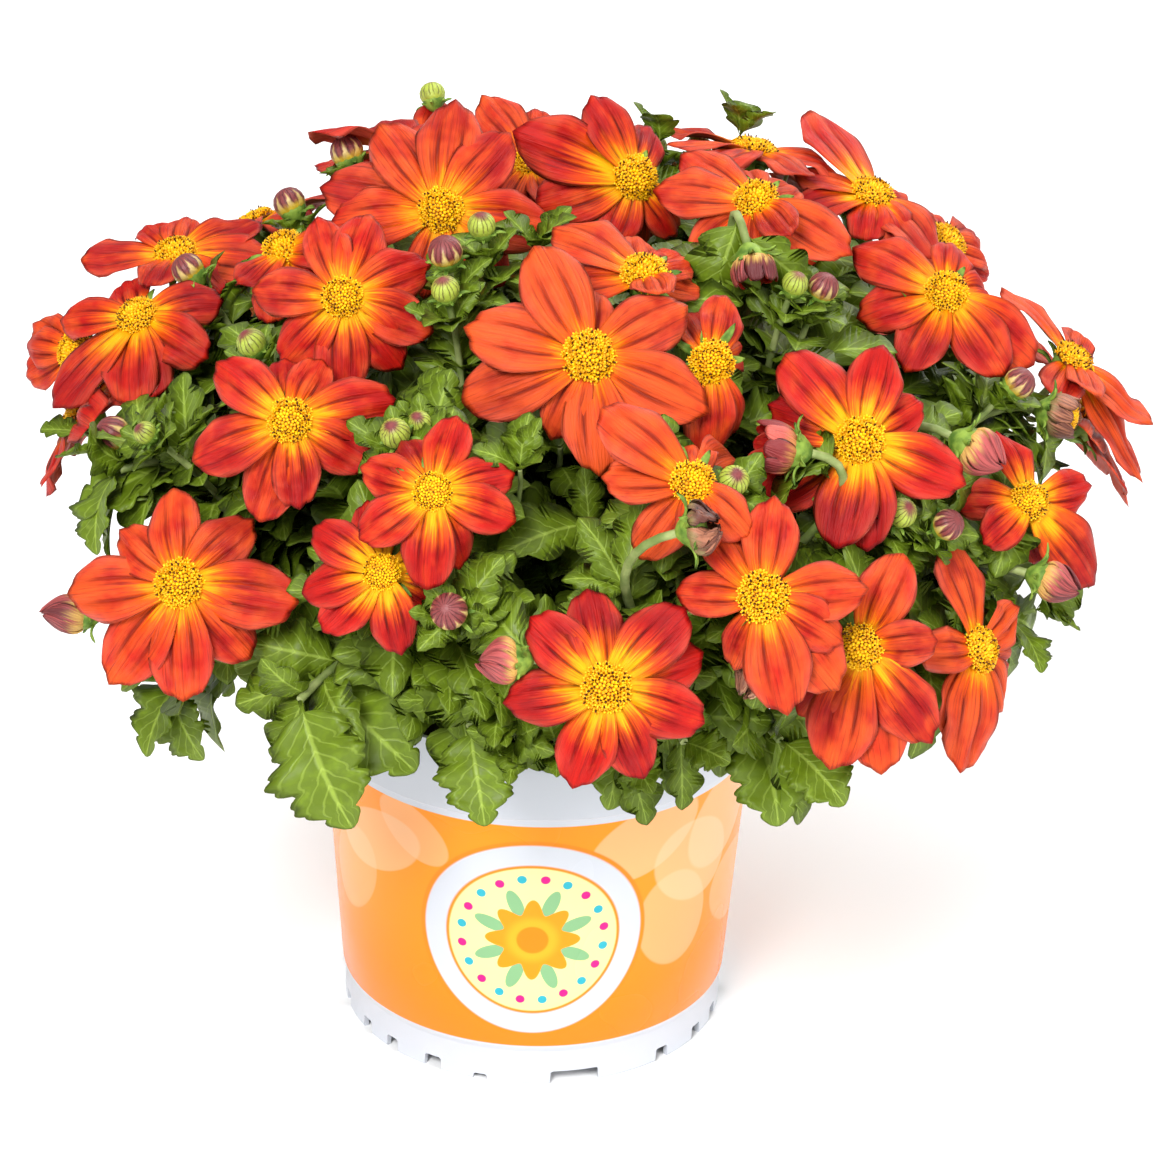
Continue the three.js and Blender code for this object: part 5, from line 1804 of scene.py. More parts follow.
class Tubes:
    """Runs round stalks along curves."""

    def __init__(self) -> None:
        """Builds the tree."""
        self.tree = Tree("tubes", {"Sides": "NodeSocketInt", "Finish": "NodeSocketMaterial"})
        tree = self.tree
        start = tree.start.outputs
        curves = tree.add("GeometryNodeMeshToCurve", inputs={"Mesh": start["Geometry"]})
        circle = {"Resolution": start["Sides"], "Radius": 1.0}
        outline = tree.add("GeometryNodeCurvePrimitiveCircle", inputs=circle)
        skin = tree.add("GeometryNodeCurveToMesh", inputs={
            "Curve": curves,
            "Profile Curve": outline,
            "Scale": tree.mark("girth"),
            "Fill Caps": True,
        })
        tree.close(tree.add("GeometryNodeSetShadeSmooth", inputs={"Geometry": skin}))

    def run(self, name: str, stalks: Sequence[tuple[np.ndarray, np.ndarray]], sides: int,
            finish: Finish) -> Piece:
        """Returns one piece of all stalks.

        Args:
            name: The piece's name.
            stalks: Each stalk's points and its radii there.
            sides: How many faces go round.
            finish: The finish.
        """
        points = np.concatenate([line for line, _ in stalks])
        edges = []
        start = 0
        for line, _ in stalks:
            edges.extend((start + k, start + k + 1) for k in range(len(line) - 1))
            start += len(line)
        mesh = bpy.data.meshes.new(name)
        mesh.from_pydata((points * MM).tolist(), edges, [])
        put_marks(mesh, "girth", np.concatenate([girth for _, girth in stalks]) * MM)
        result = self.tree.run(link(f"{name}_lines", mesh), {"Sides": sides, "Finish": finish.material()})
        return link(name, result)


PETAL_FACE = PetalFace()
PETAL_BACK = PetalBack()
FOLDED = FoldedPetal()
WILTED = FoldedPetal("wilted_petal", shade_of("a3674a"), shade_of("5a2a1c"), shade_of("8a7a4a"))
TAN = FoldedPetal("tan_petal", shade_of("cf9672"), shade_of("7c4a34"), shade_of("a89a60"))
HALF_OPEN = FoldedPetal("half_open_petal", shade_of("c4564a"), shade_of("7e2022"), shade_of("b87a3c"))
LEAF = LeafFace()
BUD = BudSkin()
STALK = Speckled("stalk", shade_of("9aa468"), shade_of("66783a"), 180.0, 0.3, 0.7, 0.55)
BRACT = Speckled("bract", shade_of("86a03c"), shade_of("4a6a20"), 320.0, 0.3, 0.7, 0.6)
# The dome shows only between the florets; its dark brown is partly its own colour, partly painted shade in
# those gaps.
DOME = Speckled("disc_dome", shade_of("804806"), shade_of("3e2003"), 700.0, 0.35, 0.7, 0.7)
FLORET = Speckled("floret", shade_of("f8c402"), shade_of("d89204"), 900.0, 0.35, 0.7, 0.55)
ANTHER = Speckled("anther", shade_of("5c2c08"), shade_of("341604"), 1200.0, 0.35, 0.7, 0.7)
SOIL_CRUMB = Speckled("soil_crumb", shade_of("3a2a1e"), shade_of("17100b"), 420.0, 0.35, 0.65, 0.95, 0.002)


@dataclass
class PetalMaker:
    """Builds one petal: a broad ribbed blade with a notched tip."""

    rows: int = 16
    columns: int = 13
    thickness: float = 0.4
    start: float = 0.1
    broad: float = 1.12
    groove: float = 1.25
    notch: float = 0.014
    widest: float = 0.6
    end: float = 0.8
    curl: float = 2.2
    ripple: float = 0.8
    fold: float = 1.4
    roll: float = 0.2
    width: tuple[Pair, ...] = (
        (0.0, 0.3), (0.12, 0.42), (0.25, 0.64), (0.42, 0.89), (0.6, 1.0), (0.78, 0.89),
    )

    def half_width(self, along: np.ndarray, power: float) -> np.ndarray:
        """Returns the outline's half width, which closes round the tip by a power."""
        past = np.clip((along - self.widest) / (1 - self.widest), 0, 1)
        return np.where(along < self.widest, eased(self.width, along), (1 - past ** 2) ** power)

    def add(self, shape: Shape, place: Place, length: float, half: float, seed: float, tint: float) -> None:
        """Adds a petal to a shape.

        Args:
            shape: What it becomes part of.
            place: The petal's base, x along it and z over it.
            length: From the bloom's middle to the tip.
            half: The half width at the widest place.
            seed: The draw of its small bends and of its finish.
            tint: How coral it is.
        """
        along, across = sheet(np.linspace(self.start, 1, self.rows), self.columns)
        rim = np.abs(across)
        power = lerp(0.5, 0.85, draw(seed + 7))
        last = (1 - ((self.end - self.widest) / (1 - self.widest)) ** 2) ** power
        round_tip = self.widest + (1 - self.widest) * np.sqrt(1 - (rim * last) ** (1 / power))
        round_tip = round_tip + self.notch * (np.cos(3 * math.pi * across) - 1) * (0.3 + draw(seed + 1))
        swell = smooth(along, 0.45, 1.0)
        x = length * along * (1 + (round_tip - 1) * swell)
        y = self.broad * half * across * self.half_width(along * (1 + (self.end - 1) * swell), power)
        fold = BLOOM.petal_fold + self.fold * (draw(seed + 8) - 0.6)
        z = 4 * BLOOM.petal_arch * along * (1 - along) - fold * rim ** 2 * smooth(along, 0.1, 0.5)
        ribs = np.exp(-((rim - 0.33) / 0.12) ** 2)
        z = z - self.groove * ribs * smooth(along, 0.1, 0.34) * (1 - 0.85 * smooth(along, 0.7, 1.0))
        z = z + self.roll * y * (1 - smooth(along, 0.3, 0.85))
        wave = np.sin(TAU * (1.2 * along + draw(seed + 2)) + across * 1.4)
        z = z + self.ripple * wave * rim * smooth(along, 0.3, 0.8)
        z = z + self.curl * (draw(seed + 3) - 0.42) * 2 * smooth(along, 0.6, 1.0) ** 2
        twist = (draw(seed + 4) - 0.5) * 0.5 * smooth(along, 0.2, 1.0)
        sway = (draw(seed + 5) - 0.5) * 1.6 * along ** 2
        y, z = y * np.cos(twist) - z * np.sin(twist) * 0.3 + sway, z + y * np.sin(twist)
        top = place.world(np.stack([x, y, z], axis=-1))
        shape.blade(top, self.thickness, PETAL_FACE, PETAL_BACK, (draw(seed + 6), tint))


@dataclass
class CupMaker:
    """Builds the green cup under a bloom or head, with its bracts."""

    columns: int = 14
    bracts: int = 8
    foot: float = 1.3
    bract_length: float = 9.0
    bract_half: float = 1.1
    tightest: float = 0.5
    waist: float = -3.0
    profile: tuple[Pair, ...] = ((0, -7.0), (1.3, -6.9), (2.6, -6.0), (4.2, -4.2), (5.2, -2.2), (5.5, -0.5),
                                  (4.8, 0.2), (0, 0.3))

    def add(self, shape: Shape, place: Place, size: float, seed: float, brim: float = 1.0) -> None:
        """Adds a cup to a shape, its brim at the place.

        Args:
            shape: What it becomes part of.
            place: The cup's brim, facing along z.
            size: Its size against a bloom's cup.
            seed: The draw of its bracts.
            brim: How wide it is above its waist, against its full width.
        """
        profile = [(r * size * (brim if z > self.waist else 1.0), z * size) for r, z in self.profile]
        shape.lathe(place, profile, self.columns, BRACT)
        for k in range(self.bracts):
            angle = TAU * (k + 0.4 * draw(seed + k)) / self.bracts
            self.bract(shape, place, size, angle, seed + 3 * k)

    def bract(self, shape: Shape, place: Place, size: float, angle: float, seed: float) -> None:
        """Adds one narrow bract, which leaves the cup's foot and spreads.

        Args:
            shape: What it becomes part of.
            place: The cup's brim, facing along z.
            size: The cup's size.
            angle: Its turn about the cup.
            seed: The draw of its small differences.
        """
        length = self.bract_length * size * lerp(0.8, 1.15, draw(seed))
        out = place.turned(angle)
        spread = lerp(self.tightest, 1.0, draw(seed + 1))
        along, across = sheet(np.linspace(0, 1, 7), 4)
        wide = self.bract_half * size * np.sin(math.pi * (0.12 + 0.86 * along)) ** 0.7
        reach = 2.4 * size + length * along * spread
        rise = -5.6 * size + length * (along - 0.9 * spread * along ** 2)
        local = np.stack([reach, across * wide, rise + 0.5 * np.abs(across)], axis=-1)
        side = np.cross(place.z, out)
        shape.blade(Place(place.origin, out, side, place.z).world(local), 0.35, BRACT, BRACT)


@dataclass
class DiscMaker:
    """Builds a bloom's disc: a dome with spots for its florets."""

    radius: float = 6.3
    height: float = 3.1
    florets: int = 126
    young: float = 0.6
    full: float = 0.9
    columns: int = 18
    golden: float = math.pi * (3 - math.sqrt(5))
    beads: list[Spot] = field(default_factory=list)
    stars: list[Spot] = field(default_factory=list)
    anthers: list[Spot] = field(default_factory=list)

    def rise(self, radius: float) -> float:
        """Returns the dome's height at a distance from its middle."""
        return self.height * (1 - (radius / self.radius) ** 2) ** 0.6 if radius < self.radius else 0.0

    def add(self, shape: Shape, place: Place, size: float, seed: float) -> None:
        """Adds a dome to a shape and keeps the spots of its florets.

        Args:
            shape: What the dome becomes part of.
            place: The disc's middle, facing along z.
            size: Its size against a full disc.
            seed: The draw of its florets.
        """
        stops = [self.radius * share for share in (1.0, 0.97, 0.86, 0.68, 0.45, 0.2)]
        profile = [(0.0, -0.4)] + [(r * size, (self.rise(r) + 0.1) * size) for r in stops]
        shape.lathe(place, profile + [(0.0, self.height * size)], self.columns, DOME)
        open_from = lerp(0.9, 0.42, clamp((size - self.young) / (self.full - self.young), 0.0, 1.0))
        for k in range(self.florets):
            share = math.sqrt((k + 0.6) / self.florets)
            angle = k * self.golden + seed
            radius = share * self.radius * (1 + 0.04 * (draw(seed + k) - 0.5))
            out = place.turned(angle)
            ahead = unit(place.z + out * share * 0.9 + place.x * 0.2 * (draw(seed + k + 0.3) - 0.5))
            origin = place.origin + (out * radius + place.z * self.rise(radius)) * size
            scale = size * MM * lerp(0.88, 1.12, draw(seed + k + 0.7))
            spot = Spot(Place.facing(origin, ahead, out), scale, draw(seed + k))
            is_open = share > open_from and draw(seed + k + 0.1) < 0.8
            (self.stars if is_open else self.beads).append(spot)
            if draw(seed + k + 0.2) < (0.28 if is_open else 0.1):
                self.anthers.append(spot)

    def make(self, scatter: Scatter) -> list[Piece]:
        """Returns the florets of all discs, in three pieces.

        Args:
            scatter: What sets the copies.

        Returns:
            The pieces.
        """
        here = Place.upright(0)
        bead = Shape()
        bead.lathe(here, [(0.5, -0.3), (0.62, 0.5), (0.42, 1.05), (0, 1.25)], 5, FLORET)
        star = Shape()
        star.lathe(here, [(0.3, -0.2), (0.42, 0.9), (0.5, 1.35)], 5, FLORET)
        for k in range(5):
            out = here.turned(TAU * (k + 0.5) / 5)
            side = here.turned(TAU * (k + 0.5) / 5 + math.pi / 2)
            corners = np.array([[out * 0.42 - side * 0.3, out * 0.42 + side * 0.3],
                                [out * 0.82 - side * 0.2, out * 0.82 + side * 0.2],
                                [out * 1.12, out * 1.12 + side * 0.02]])
            corners[..., 2] += np.array([1.25, 1.6, 1.5])[:, None]
            star.skin(star.add_points(corners), FLORET)
        anther = Shape()
        anther.lathe(here, [(0.2, 0.9), (0.26, 1.7), (0.2, 2.05), (0, 2.15)], 4, ANTHER)
        return [
            scatter.run("floret_beads", self.beads, self.per_metre(bead), FLORET),
            scatter.run("floret_stars", self.stars, self.per_metre(star), FLORET),
            scatter.run("floret_anthers", self.anthers, self.per_metre(anther), ANTHER),
        ]

    def per_metre(self, shape: Shape) -> Shape:
        """Returns a template whose millimetres have become metres, as a spot's size expects."""
        shape.points = [points / MM for points in shape.points]
        return shape


@dataclass
class BloomMaker:
    """Builds the open blooms: petals, disc, cup and bracts, one piece each."""

    petal: PetalMaker = field(default_factory=PetalMaker)
    cup: CupMaker = field(default_factory=lambda: CupMaker(tightest=0.7))
    disc: DiscMaker = field(default_factory=DiscMaker)
    overlap: float = 0.25
    disc_lift: float = 0.3
    tints: dict[str, float] = field(default_factory=lambda: {
        "bloom_14": 0.12, "bloom_22": 0.08, "bloom_15": 0.75, "bloom_16": 0.8, "bloom_11": 0.62,
        "bloom_21": 0.3, "bloom_17": 0.7, "bloom_04": 0.65, "bloom_18": 0.6, "bloom_12": 0.5,
        "bloom_01": 0.55, "bloom_19": 0.4, "bloom_09": 0.2, "bloom_13": 0.75, "bloom_23": 0.55,
        "bloom_20": 0.45, "bloom_06": 0.45, "bloom_07": 0.65, "bloom_10": 0.28,
    })
    discs: dict[str, float] = field(default_factory=lambda: {
        "bloom_14": 0.84, "bloom_21": 0.66, "bloom_22": 0.64, "bloom_19": 0.74, "bloom_15": 0.78,
        "bloom_10": 0.72, "bloom_02": 0.7, "bloom_16": 0.9, "bloom_11": 0.88, "bloom_06": 0.78,
        "bloom_20": 0.78, "bloom_23": 0.86,
    })

    def make(self, plan: BloomPlan, seed: int) -> Piece:
        """Returns one bloom, which stands for its solid.

        Args:
            plan: Where it is and where its petals end.
            seed: The draw of its small differences.
        """
        shape = Shape()
        place = Place.facing(plan.centre, plan.normal)
        tint = self.tints.get(plan.name, lerp(0.2, 0.6, draw(seed * 3.3)))
        for k, petal in enumerate(plan.petals):
            base = plan.centre - plan.normal * (BLOOM.petal_seat + self.overlap * (k % 2))
            spot = Place.along(base, petal.tip, plan.normal)
            own = clamp(tint + 0.25 * (draw(seed * 5 + k) - 0.5), 0.0, 1.0)
            half = plan.half_width(petal)
            self.petal.add(shape, spot, span(base, petal.tip), half, seed * 13 + k * 1.7, own)
        size = self.discs.get(plan.name, lerp(0.78, 0.88, draw(seed * 2.1)))
        self.cup.add(shape, place, 1.0, seed * 7.0, clamp(size * 1.1, 0.6, 0.9))
        self.disc.add(shape, place.moved(self.disc_lift), size, seed * 1.9)
        piece = shape.make(f"open_{plan.name}")
        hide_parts(plan.name)
        return piece


class HeadStyle(Enum):
    """How far a head is open or withered, with its girth at places along it."""

    OPENING = ((0.0, 0.42), (0.2, 0.86), (0.45, 0.96), (0.75, 0.62), (1.0, 0.12))
    HALF_OPEN = ((0.0, 0.42), (0.2, 0.8), (0.45, 0.96), (0.75, 0.96), (1.0, 0.9))
    WILTED = ((0.0, 0.45), (0.2, 0.9), (0.45, 0.95), (0.75, 0.6), (1.0, 0.3))
    SPENT = ((0.0, 0.42), (0.2, 0.8), (0.45, 0.9), (0.75, 0.85), (1.0, 0.8))


HEAD_STYLES = {
    "head_half_open": (HeadStyle.HALF_OPEN, HALF_OPEN),
    "head_wilted_right": (HeadStyle.OPENING, FOLDED),
    "head_wilted_brown": (HeadStyle.WILTED, WILTED),
    "head_opening_front": (HeadStyle.OPENING, FOLDED),
    "head_opening_left": (HeadStyle.OPENING, FOLDED),
    "head_opening_right": (HeadStyle.OPENING, FOLDED),
    "head_wilted_tan": (HeadStyle.WILTED, TAN),
    "head_wilted_top": (HeadStyle.HALF_OPEN, FOLDED),
    "head_turned": (HeadStyle.SPENT, WILTED),
}


@dataclass
class HeadMaker:
    """Builds the heads that are not open, from petals wrapped about their axis."""

    disc: DiscMaker
    cup: CupMaker = field(default_factory=CupMaker)
    rows: int = 13
    columns: int = 7
    full_radius: float = 6.6
    cup_lift: float = 5.4
    disc_depth: float = 3.0
    start: float = 0.16

    def make(self, plan: HeadPlan, seed: int) -> Piece:
        """Returns one head, which stands for its solid.

        Args:
            plan: Where it lies, with its length and radius.
            seed: The draw of its small differences.
        """
        style = HEAD_STYLES[plan.name][0]
        shape = Shape()
        place = Place.facing(plan.base, plan.direction)
        size = plan.radius / self.full_radius
        self.cup.add(shape, place.moved(self.cup_lift * size), size, seed * 2.0)
        count = 9 if style is HeadStyle.WILTED else 8
        for k in range(count):
            self.fold(shape, place, plan, k / count, seed * 11 + k * 2.3)
        if style is HeadStyle.SPENT:
            self.disc.add(shape, place.moved(plan.length - self.disc_depth), self.disc.young, seed)
        piece = shape.make(f"folded_{plan.name}")
        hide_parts(plan.name)
        return piece

    def fold(self, shape: Shape, place: Place, plan: HeadPlan, turn: float, seed: float) -> None:
        """Adds one petal that wraps about the head's axis.

        Args:
            shape: What it becomes part of.
            place: The head's base, facing along its axis.
            plan: The head's length and radius.
            turn: The petal's share of a full turn.
            seed: The draw of its bends.
        """
        style, finish = HEAD_STYLES[plan.name]
        withered = style is HeadStyle.WILTED
        along, across = sheet(np.linspace(0, 1, self.rows), self.columns)
        foot = plan.length * self.start
        length = plan.length * lerp(0.86, 1.0, draw(seed))
        girth = eased(style.value, along) * plan.radius
        girth = girth + (0.5 * across + 0.35 * np.sin(5 * along + seed)) * (0.9 if withered else 0.45)
        twist = (0.9 if style is HeadStyle.OPENING else 0.35) * along
        twist = twist * (draw(seed + 1) * 2 if withered else 1)
        half = (0.42 if withered else 0.62) * np.sin(math.pi * (0.2 + 0.7 * along)) ** 0.5
        crumple = 0.25 * np.sin(9 * along + 7 * across + seed) * along if withered else 0.0
        angle = TAU * turn + twist + across * half + crumple
        height = foot + (length - foot) * along * (1 - 0.08 * across ** 2 * along)
        local = np.stack([girth * np.cos(angle), girth * np.sin(angle), height], axis=-1)
        inner = PETAL_FACE if style is HeadStyle.HALF_OPEN else finish
        shape.blade(place.world(local), 0.35, inner, finish, (draw(seed + 2), 0.3))


@dataclass
class BudMaker:
    """Builds the small closed buds with their striped skin and narrow bracts."""

    cup: CupMaker = field(default_factory=lambda: CupMaker(10, 7, bract_length=7.5, bract_half=0.8))
    columns: int = 16
    ripe: float = 3.9
    profile: tuple[Pair, ...] = (
        (0.0, 0.35), (0.34, 0.38), (0.66, 0.52), (0.9, 0.82), (1.0, 1.15), (0.96, 1.5), (0.78, 1.84),
        (0.48, 2.06), (0.2, 2.14), (0.0, 2.16),
    )

    def add(self, shape: Shape, branch: Branch, seed: int) -> None:
        """Adds the bud at the end of a side stem.

        Args:
            shape: What it becomes part of.
            branch: The side stem.
            seed: The draw of its small differences.
        """
        place = Place.facing(branch.end, branch.direction)
        radius = branch.bud
        profile = [(r * radius, z * radius) for r, z in self.profile]
        shape.lathe(place, profile, self.columns, BUD, (draw(seed), float(radius < self.ripe)))
        self.cup.add(shape, place.moved(radius * 0.95), radius / 6.2, seed * 5.0)


@dataclass(frozen=True)
class LeafSizes:
    """The form of one kind of leaf, for a leaf of length one."""

    rows: int
    columns: int
    half: float
    lobes: float
    lobe_depth: float
    teeth: float
    tooth_depth: float
    arch: float
    fold: float
    twist: float
    pucker: float
    waves: float = 2.6
    sweep: float = 0.05
    stalk: float = 0.1
    thickness: float = 0.012

    def width(self, along: np.ndarray) -> np.ndarray:
        """Returns the half width, as a thin stalk and then a blade of round lobes with small teeth.

        Args:
            along: The places along the leaf.

        Returns:
            The half width there.
        """
        blade = np.clip((along - self.stalk) / (1 - self.stalk), 0, 1)
        body = np.sin(math.pi * blade ** 0.82) ** 0.7
        lobe = 1 - np.abs(np.sin(math.pi * self.lobes * blade)) ** 0.5
        tooth = 1 - np.abs(np.sin(math.pi * self.teeth * blade)) ** 0.7
        return self.half * (0.04 + body * (1 - self.lobe_depth * lobe) * (1 - self.tooth_depth * tooth))

    def template(self) -> Shape:
        """Returns the leaf along x, over z, one metre long."""
        places = np.concatenate([[0.0], np.linspace(self.stalk, 1, self.rows - 1)])
        along, across = sheet(places, self.columns)
        rim = np.abs(across)
        wide = self.width(along)
        x = along + self.sweep * rim * wide / self.half * np.sin(math.pi * along)
        y = across * wide
        z = self.arch * (4 * along * (1 - along) - 1.6 * along ** 2) + self.fold * rim ** 1.2 * wide
        z = z + self.pucker * np.sin(along * TAU * self.waves) * rim * wide
        turn = self.twist * along ** 2
        y, z = y * np.cos(turn) - z * np.sin(turn) * 0.4, z + y * np.sin(turn)
        shape = Shape()
        shape.blade(np.stack([x, y, z], axis=-1) / MM, self.thickness / MM, LEAF, LEAF)
        return shape


SMALL_LEAVES = (
    LeafSizes(20, 3, 0.32, 2.6, 0.42, 0.0, 0.0, 0.07, 0.25, 0.25, 0.12),
    LeafSizes(20, 3, 0.28, 2.6, 0.5, 0.0, 0.0, 0.02, 0.4, -0.3, 0.1),
    LeafSizes(20, 3, 0.37, 3.5, 0.36, 0.0, 0.0, 0.12, 0.18, 0.1, 0.14),
)
BROAD_LEAVES = (
    LeafSizes(52, 7, 0.43, 3.5, 0.42, 10.5, 0.13, 0.07, 0.14, 0.2, 0.1),
    LeafSizes(52, 7, 0.41, 3.5, 0.46, 10.5, 0.13, 0.1, 0.2, -0.25, 0.12),
)


@dataclass
class Foliage:
    """Builds the stems with their leaves and buds, one sector of the crown at a time."""

    solids: Solids
    planner: Planner
    scatter: Scatter
    tubes: Tubes
    bud: BudMaker = field(default_factory=BudMaker)
    steps: int = 18
    sides: int = 7
    nodes: int = 12
    inner: int = 36
    twigs: int = 5
    twig_nodes: int = 7
    twig_turns: tuple[float, ...] = (0.45, 0.2, 0.75, -0.06, 0.4)
    inner_range: Pair = (0.08, 0.98)
    twig_range: Pair = (0.25, 1.0)
    branch_range: Pair = (0.16, 0.97)
    twig_start: Pair = (0.04, 0.45)
    twig_rise: Pair = (1.4, 0.25)
    twig_reach: Pair = (0.62, 0.76)
    tuft: int = 5
    tuft_length: float = 14.0
    leafy_ends: tuple[tuple[Pixel, float], ...] = (
        ((660, 146), -8), ((702, 144), -10), ((740, 136), -16), ((790, 165), -20), ((84, 432), -4),
        ((100, 452), -6), ((1036, 610), -12), ((1046, 560), -14), ((520, 470), -4), ((540, 252), -12),
        ((516, 738), -22), ((556, 742), -26), ((500, 712), -20),
    )
    hidden_ends: tuple[Pair, ...] = ((90, 14), (97, 20), (103, 12), (178, 14))
    hidden_reach: float = 0.68
    # Painted light: the shade given to leaves at the ends of sprigs, a light green in place of the one from
    # their place on the mound.
    tip_painted_light: float = 0.85
    shortest: float = 16.0
    longest: float = 30.0
    tries: int = 7
    deepest: float = 0.98
    shoot_deepest: float = 1.14
    lowest: float = 1.0
    leaf_half: float = 0.27
    twig_radii: Pair = (1.2, 0.7)
    sprig_radii: Pair = (1.1, 0.6)
    bud_radii: Pair = (1.35, 0.85)
    branch_radii: Pair = (1.35, 1.1)

    def __post_init__(self) -> None:
        """Gathers the petals' and pot's surface, which no extra leaf crosses."""
        names = [name for name in self.solids.corners if name.startswith(("bloom", "head", "pot"))]
        self.petals = self.solids.surface(names)
        self.box = (
            np.min([corners.min(axis=0) for corners in self.solids.corners.values()], axis=0),
            np.max([corners.max(axis=0) for corners in self.solids.corners.values()], axis=0),
        )

    def stalk(self, curve: Curve, root: float, tip: float) -> tuple[np.ndarray, np.ndarray]:
        """Returns a stalk's points and radii."""
        places = np.linspace(0, 1, self.steps)
        points = np.array([curve.at(float(t)) for t in places])
        return points, root + (tip - root) * places + 0.25 * root * np.exp(-(places / 0.05) ** 2)

    def main_stalk(self, index: int) -> tuple[np.ndarray, np.ndarray]:
        """Returns a main stem, from inside the soil to its end."""
        points, radii = self.stalk(self.planner.mains[index], CROWN.stem_radius, CROWN.end_radius)
        foot = self.planner.crown_foot(index) - ZENITH * 11.0
        return np.vstack([foot[None, :], points]), np.concatenate([[CROWN.stem_radius], radii])

    def is_free(self, base: Point, tip: Point, across: Point) -> bool:
        """Returns whether a leaf crosses no petal, and stays inside the solids' box.

        Args:
            base: Where it leaves its stem.
            tip: Where it ends.
            across: The direction across it.

        Returns:
            Whether it is free.
        """
        low, high = self.box
        if np.any(tip < low + self.lowest) or np.any(tip > high - self.lowest):
            return False
        middle = (base + tip) / 2
        side = across * self.leaf_half * span(base, tip)
        lines = [(base, tip)] + [(end, middle + shift) for end in (base, tip) for shift in (side, -side)]
        return not any(is_crossed(self.petals, start, end) for start, end in lines)

    def leaf_spot(self, base: Point, tip: Point, normal: Point, seed: float) -> Spot:
        """Returns the spot of a leaf from its stem to its tip, with painted light in its shade.

        Args:
            base: Where it leaves its stem.
            tip: Where it ends.
            normal: The direction that it faces.
            seed: The draw of its small differences.

        Returns:
            The spot.
        """
        # Painted light: leaves far out on the mound get a low shade and a darker green, leaves inside a high
        # shade and a lighter green, plus a random share.
        depth = float(np.linalg.norm(unit_of_mound((base + tip) / 2)))
        shade = clamp(1.0 - 0.8 * smooth(np.array(depth), 0.75, 1.12) + 0.7 * (draw(seed) - 0.5), 0.0, 1.0)
        place = Place.along(base, tip, normal)
        return Spot(place, span(base, tip) * MM, float(shade), draw(seed + 0.37))

    def inner_twigs(self, sector: int) -> list[Branch]:
        """Returns the side stems in the heart of the plant, which carry leaves alone.

        Args:
            sector: The main stem's number.

        Returns:
            The side stems.
        """
        main = self.planner.mains[sector]
        twigs = []
        for k in range(self.twigs):
            share = k / (self.twigs - 1)
            place = lerp(*self.twig_start, share)
            start = main.at(place)
            turn = TAU * (sector + self.twig_turns[k] + 0.15 * draw(sector * 7.3 + k)) / CROWN.stems
            rise = lerp(*self.twig_rise, share)
            out = outward(turn, rise)
            end = MOUND.centre() + out * MOUND.size() * lerp(*self.twig_reach, share)
            reach = span(start, end)
            curve = Curve(start, start + main.ahead(place) * 0.25 * reach, end - out * 0.3 * reach, end)
            twigs.append(Branch(sector, curve, end, out))
        return twigs

    def leafy_tips(self, sector: int) -> list[Branch]:
        """Returns the thin stems that end in a few leaves between the blooms.

        Args:
            sector: The main stem's number.

        Returns:
            The side stems.
        """
        found = []
        ends = [VIEW.on_mound(pixel, lift) for pixel, lift in self.leafy_ends]
        for azimuth, height in self.hidden_ends:
            out = outward(math.radians(azimuth), math.radians(height))
            ends.append(MOUND.centre() + out * MOUND.size() * self.hidden_reach)
        for end in ends:
            if self.planner.sector(end) == sector:
                out = unit(unit_of_mound(end) + ZENITH * 0.6)
                curve = self.planner.branch_curve(sector, end, out, 0.0, (0, 0))
                found.append(Branch(sector, curve, end, out))
        return found

    def leaves_along(self, curve: Curve, places: Sequence[float], seed: float, deepest: float) -> list[Spot]:
        """Returns the spots of small leaves in crossed pairs along a stem.

        Args:
            curve: The stem's curve.
            places: The pairs' places on it.
            seed: The draw of its small differences.
            deepest: How far out a tip may lie, in the mound's half sizes.

        Returns:
            The spots.
        """
        spots = []
        for k, t in enumerate(places):
            for half in range(2):
                first = math.pi * half + math.pi / 2 * (k % 2)
                spot = self.first_free(curve, t, first, seed + k * 2 + half, deepest)
                if spot:
                    spots.append(spot)
        return spots

    def tuft_leaves(self, branch: Branch, seed: float) -> list[Spot]:
        """Returns the spots of the small leaves that stand round a bud.

        Args:
            branch: The side stem.
            seed: The draw of its small differences.

        Returns:
            The spots.
        """
        place = Place.facing(branch.curve.at(0.93 if branch.bud else 1.0), branch.direction)
        spots = []
        for k in range(self.tuft):
            out = place.turned(TAU * (k + draw(seed + k)) / self.tuft)
            tip = place.origin + unit(place.z + out * lerp(0.6, 1.3, draw(seed + k + 0.4))) * self.tuft_length
            across = np.cross(out, place.z)
            if self.is_free(place.origin + out * 1.5, tip, across):
                spot = self.leaf_spot(place.origin, tip, place.z - out * 0.4, seed + k)
                # Leaves at sprig ends take the light green of painted light; leaves round buds keep their
                # own.
                spot.shade = spot.shade if branch.bud else self.tip_painted_light
                spots.append(spot)
        return spots

    def missing_leaves(self, branch: Branch, seed: float) -> list[Spot]:
        """Returns the spots of the broad leaves that the photograph shows and the solids leave out.

        Args:
            branch: The side stem.
            seed: The draw of its small differences.

        Returns:
            The spots.
        """
        spots = []
        for place, pixel in branch.missing:
            base = branch.curve.at(place)
            normal = off_axis(base) + ZENITH * 0.7
            for offset in LEAF_DEPTHS:
                tip = VIEW.at_depth(pixel, base, offset)
                across = unit(np.cross(normal, tip - base))
                if self.is_free(base + (tip - base) * 0.1, tip, across):
                    spots.append(self.leaf_spot(base, tip, normal, seed))
                    break
        return spots

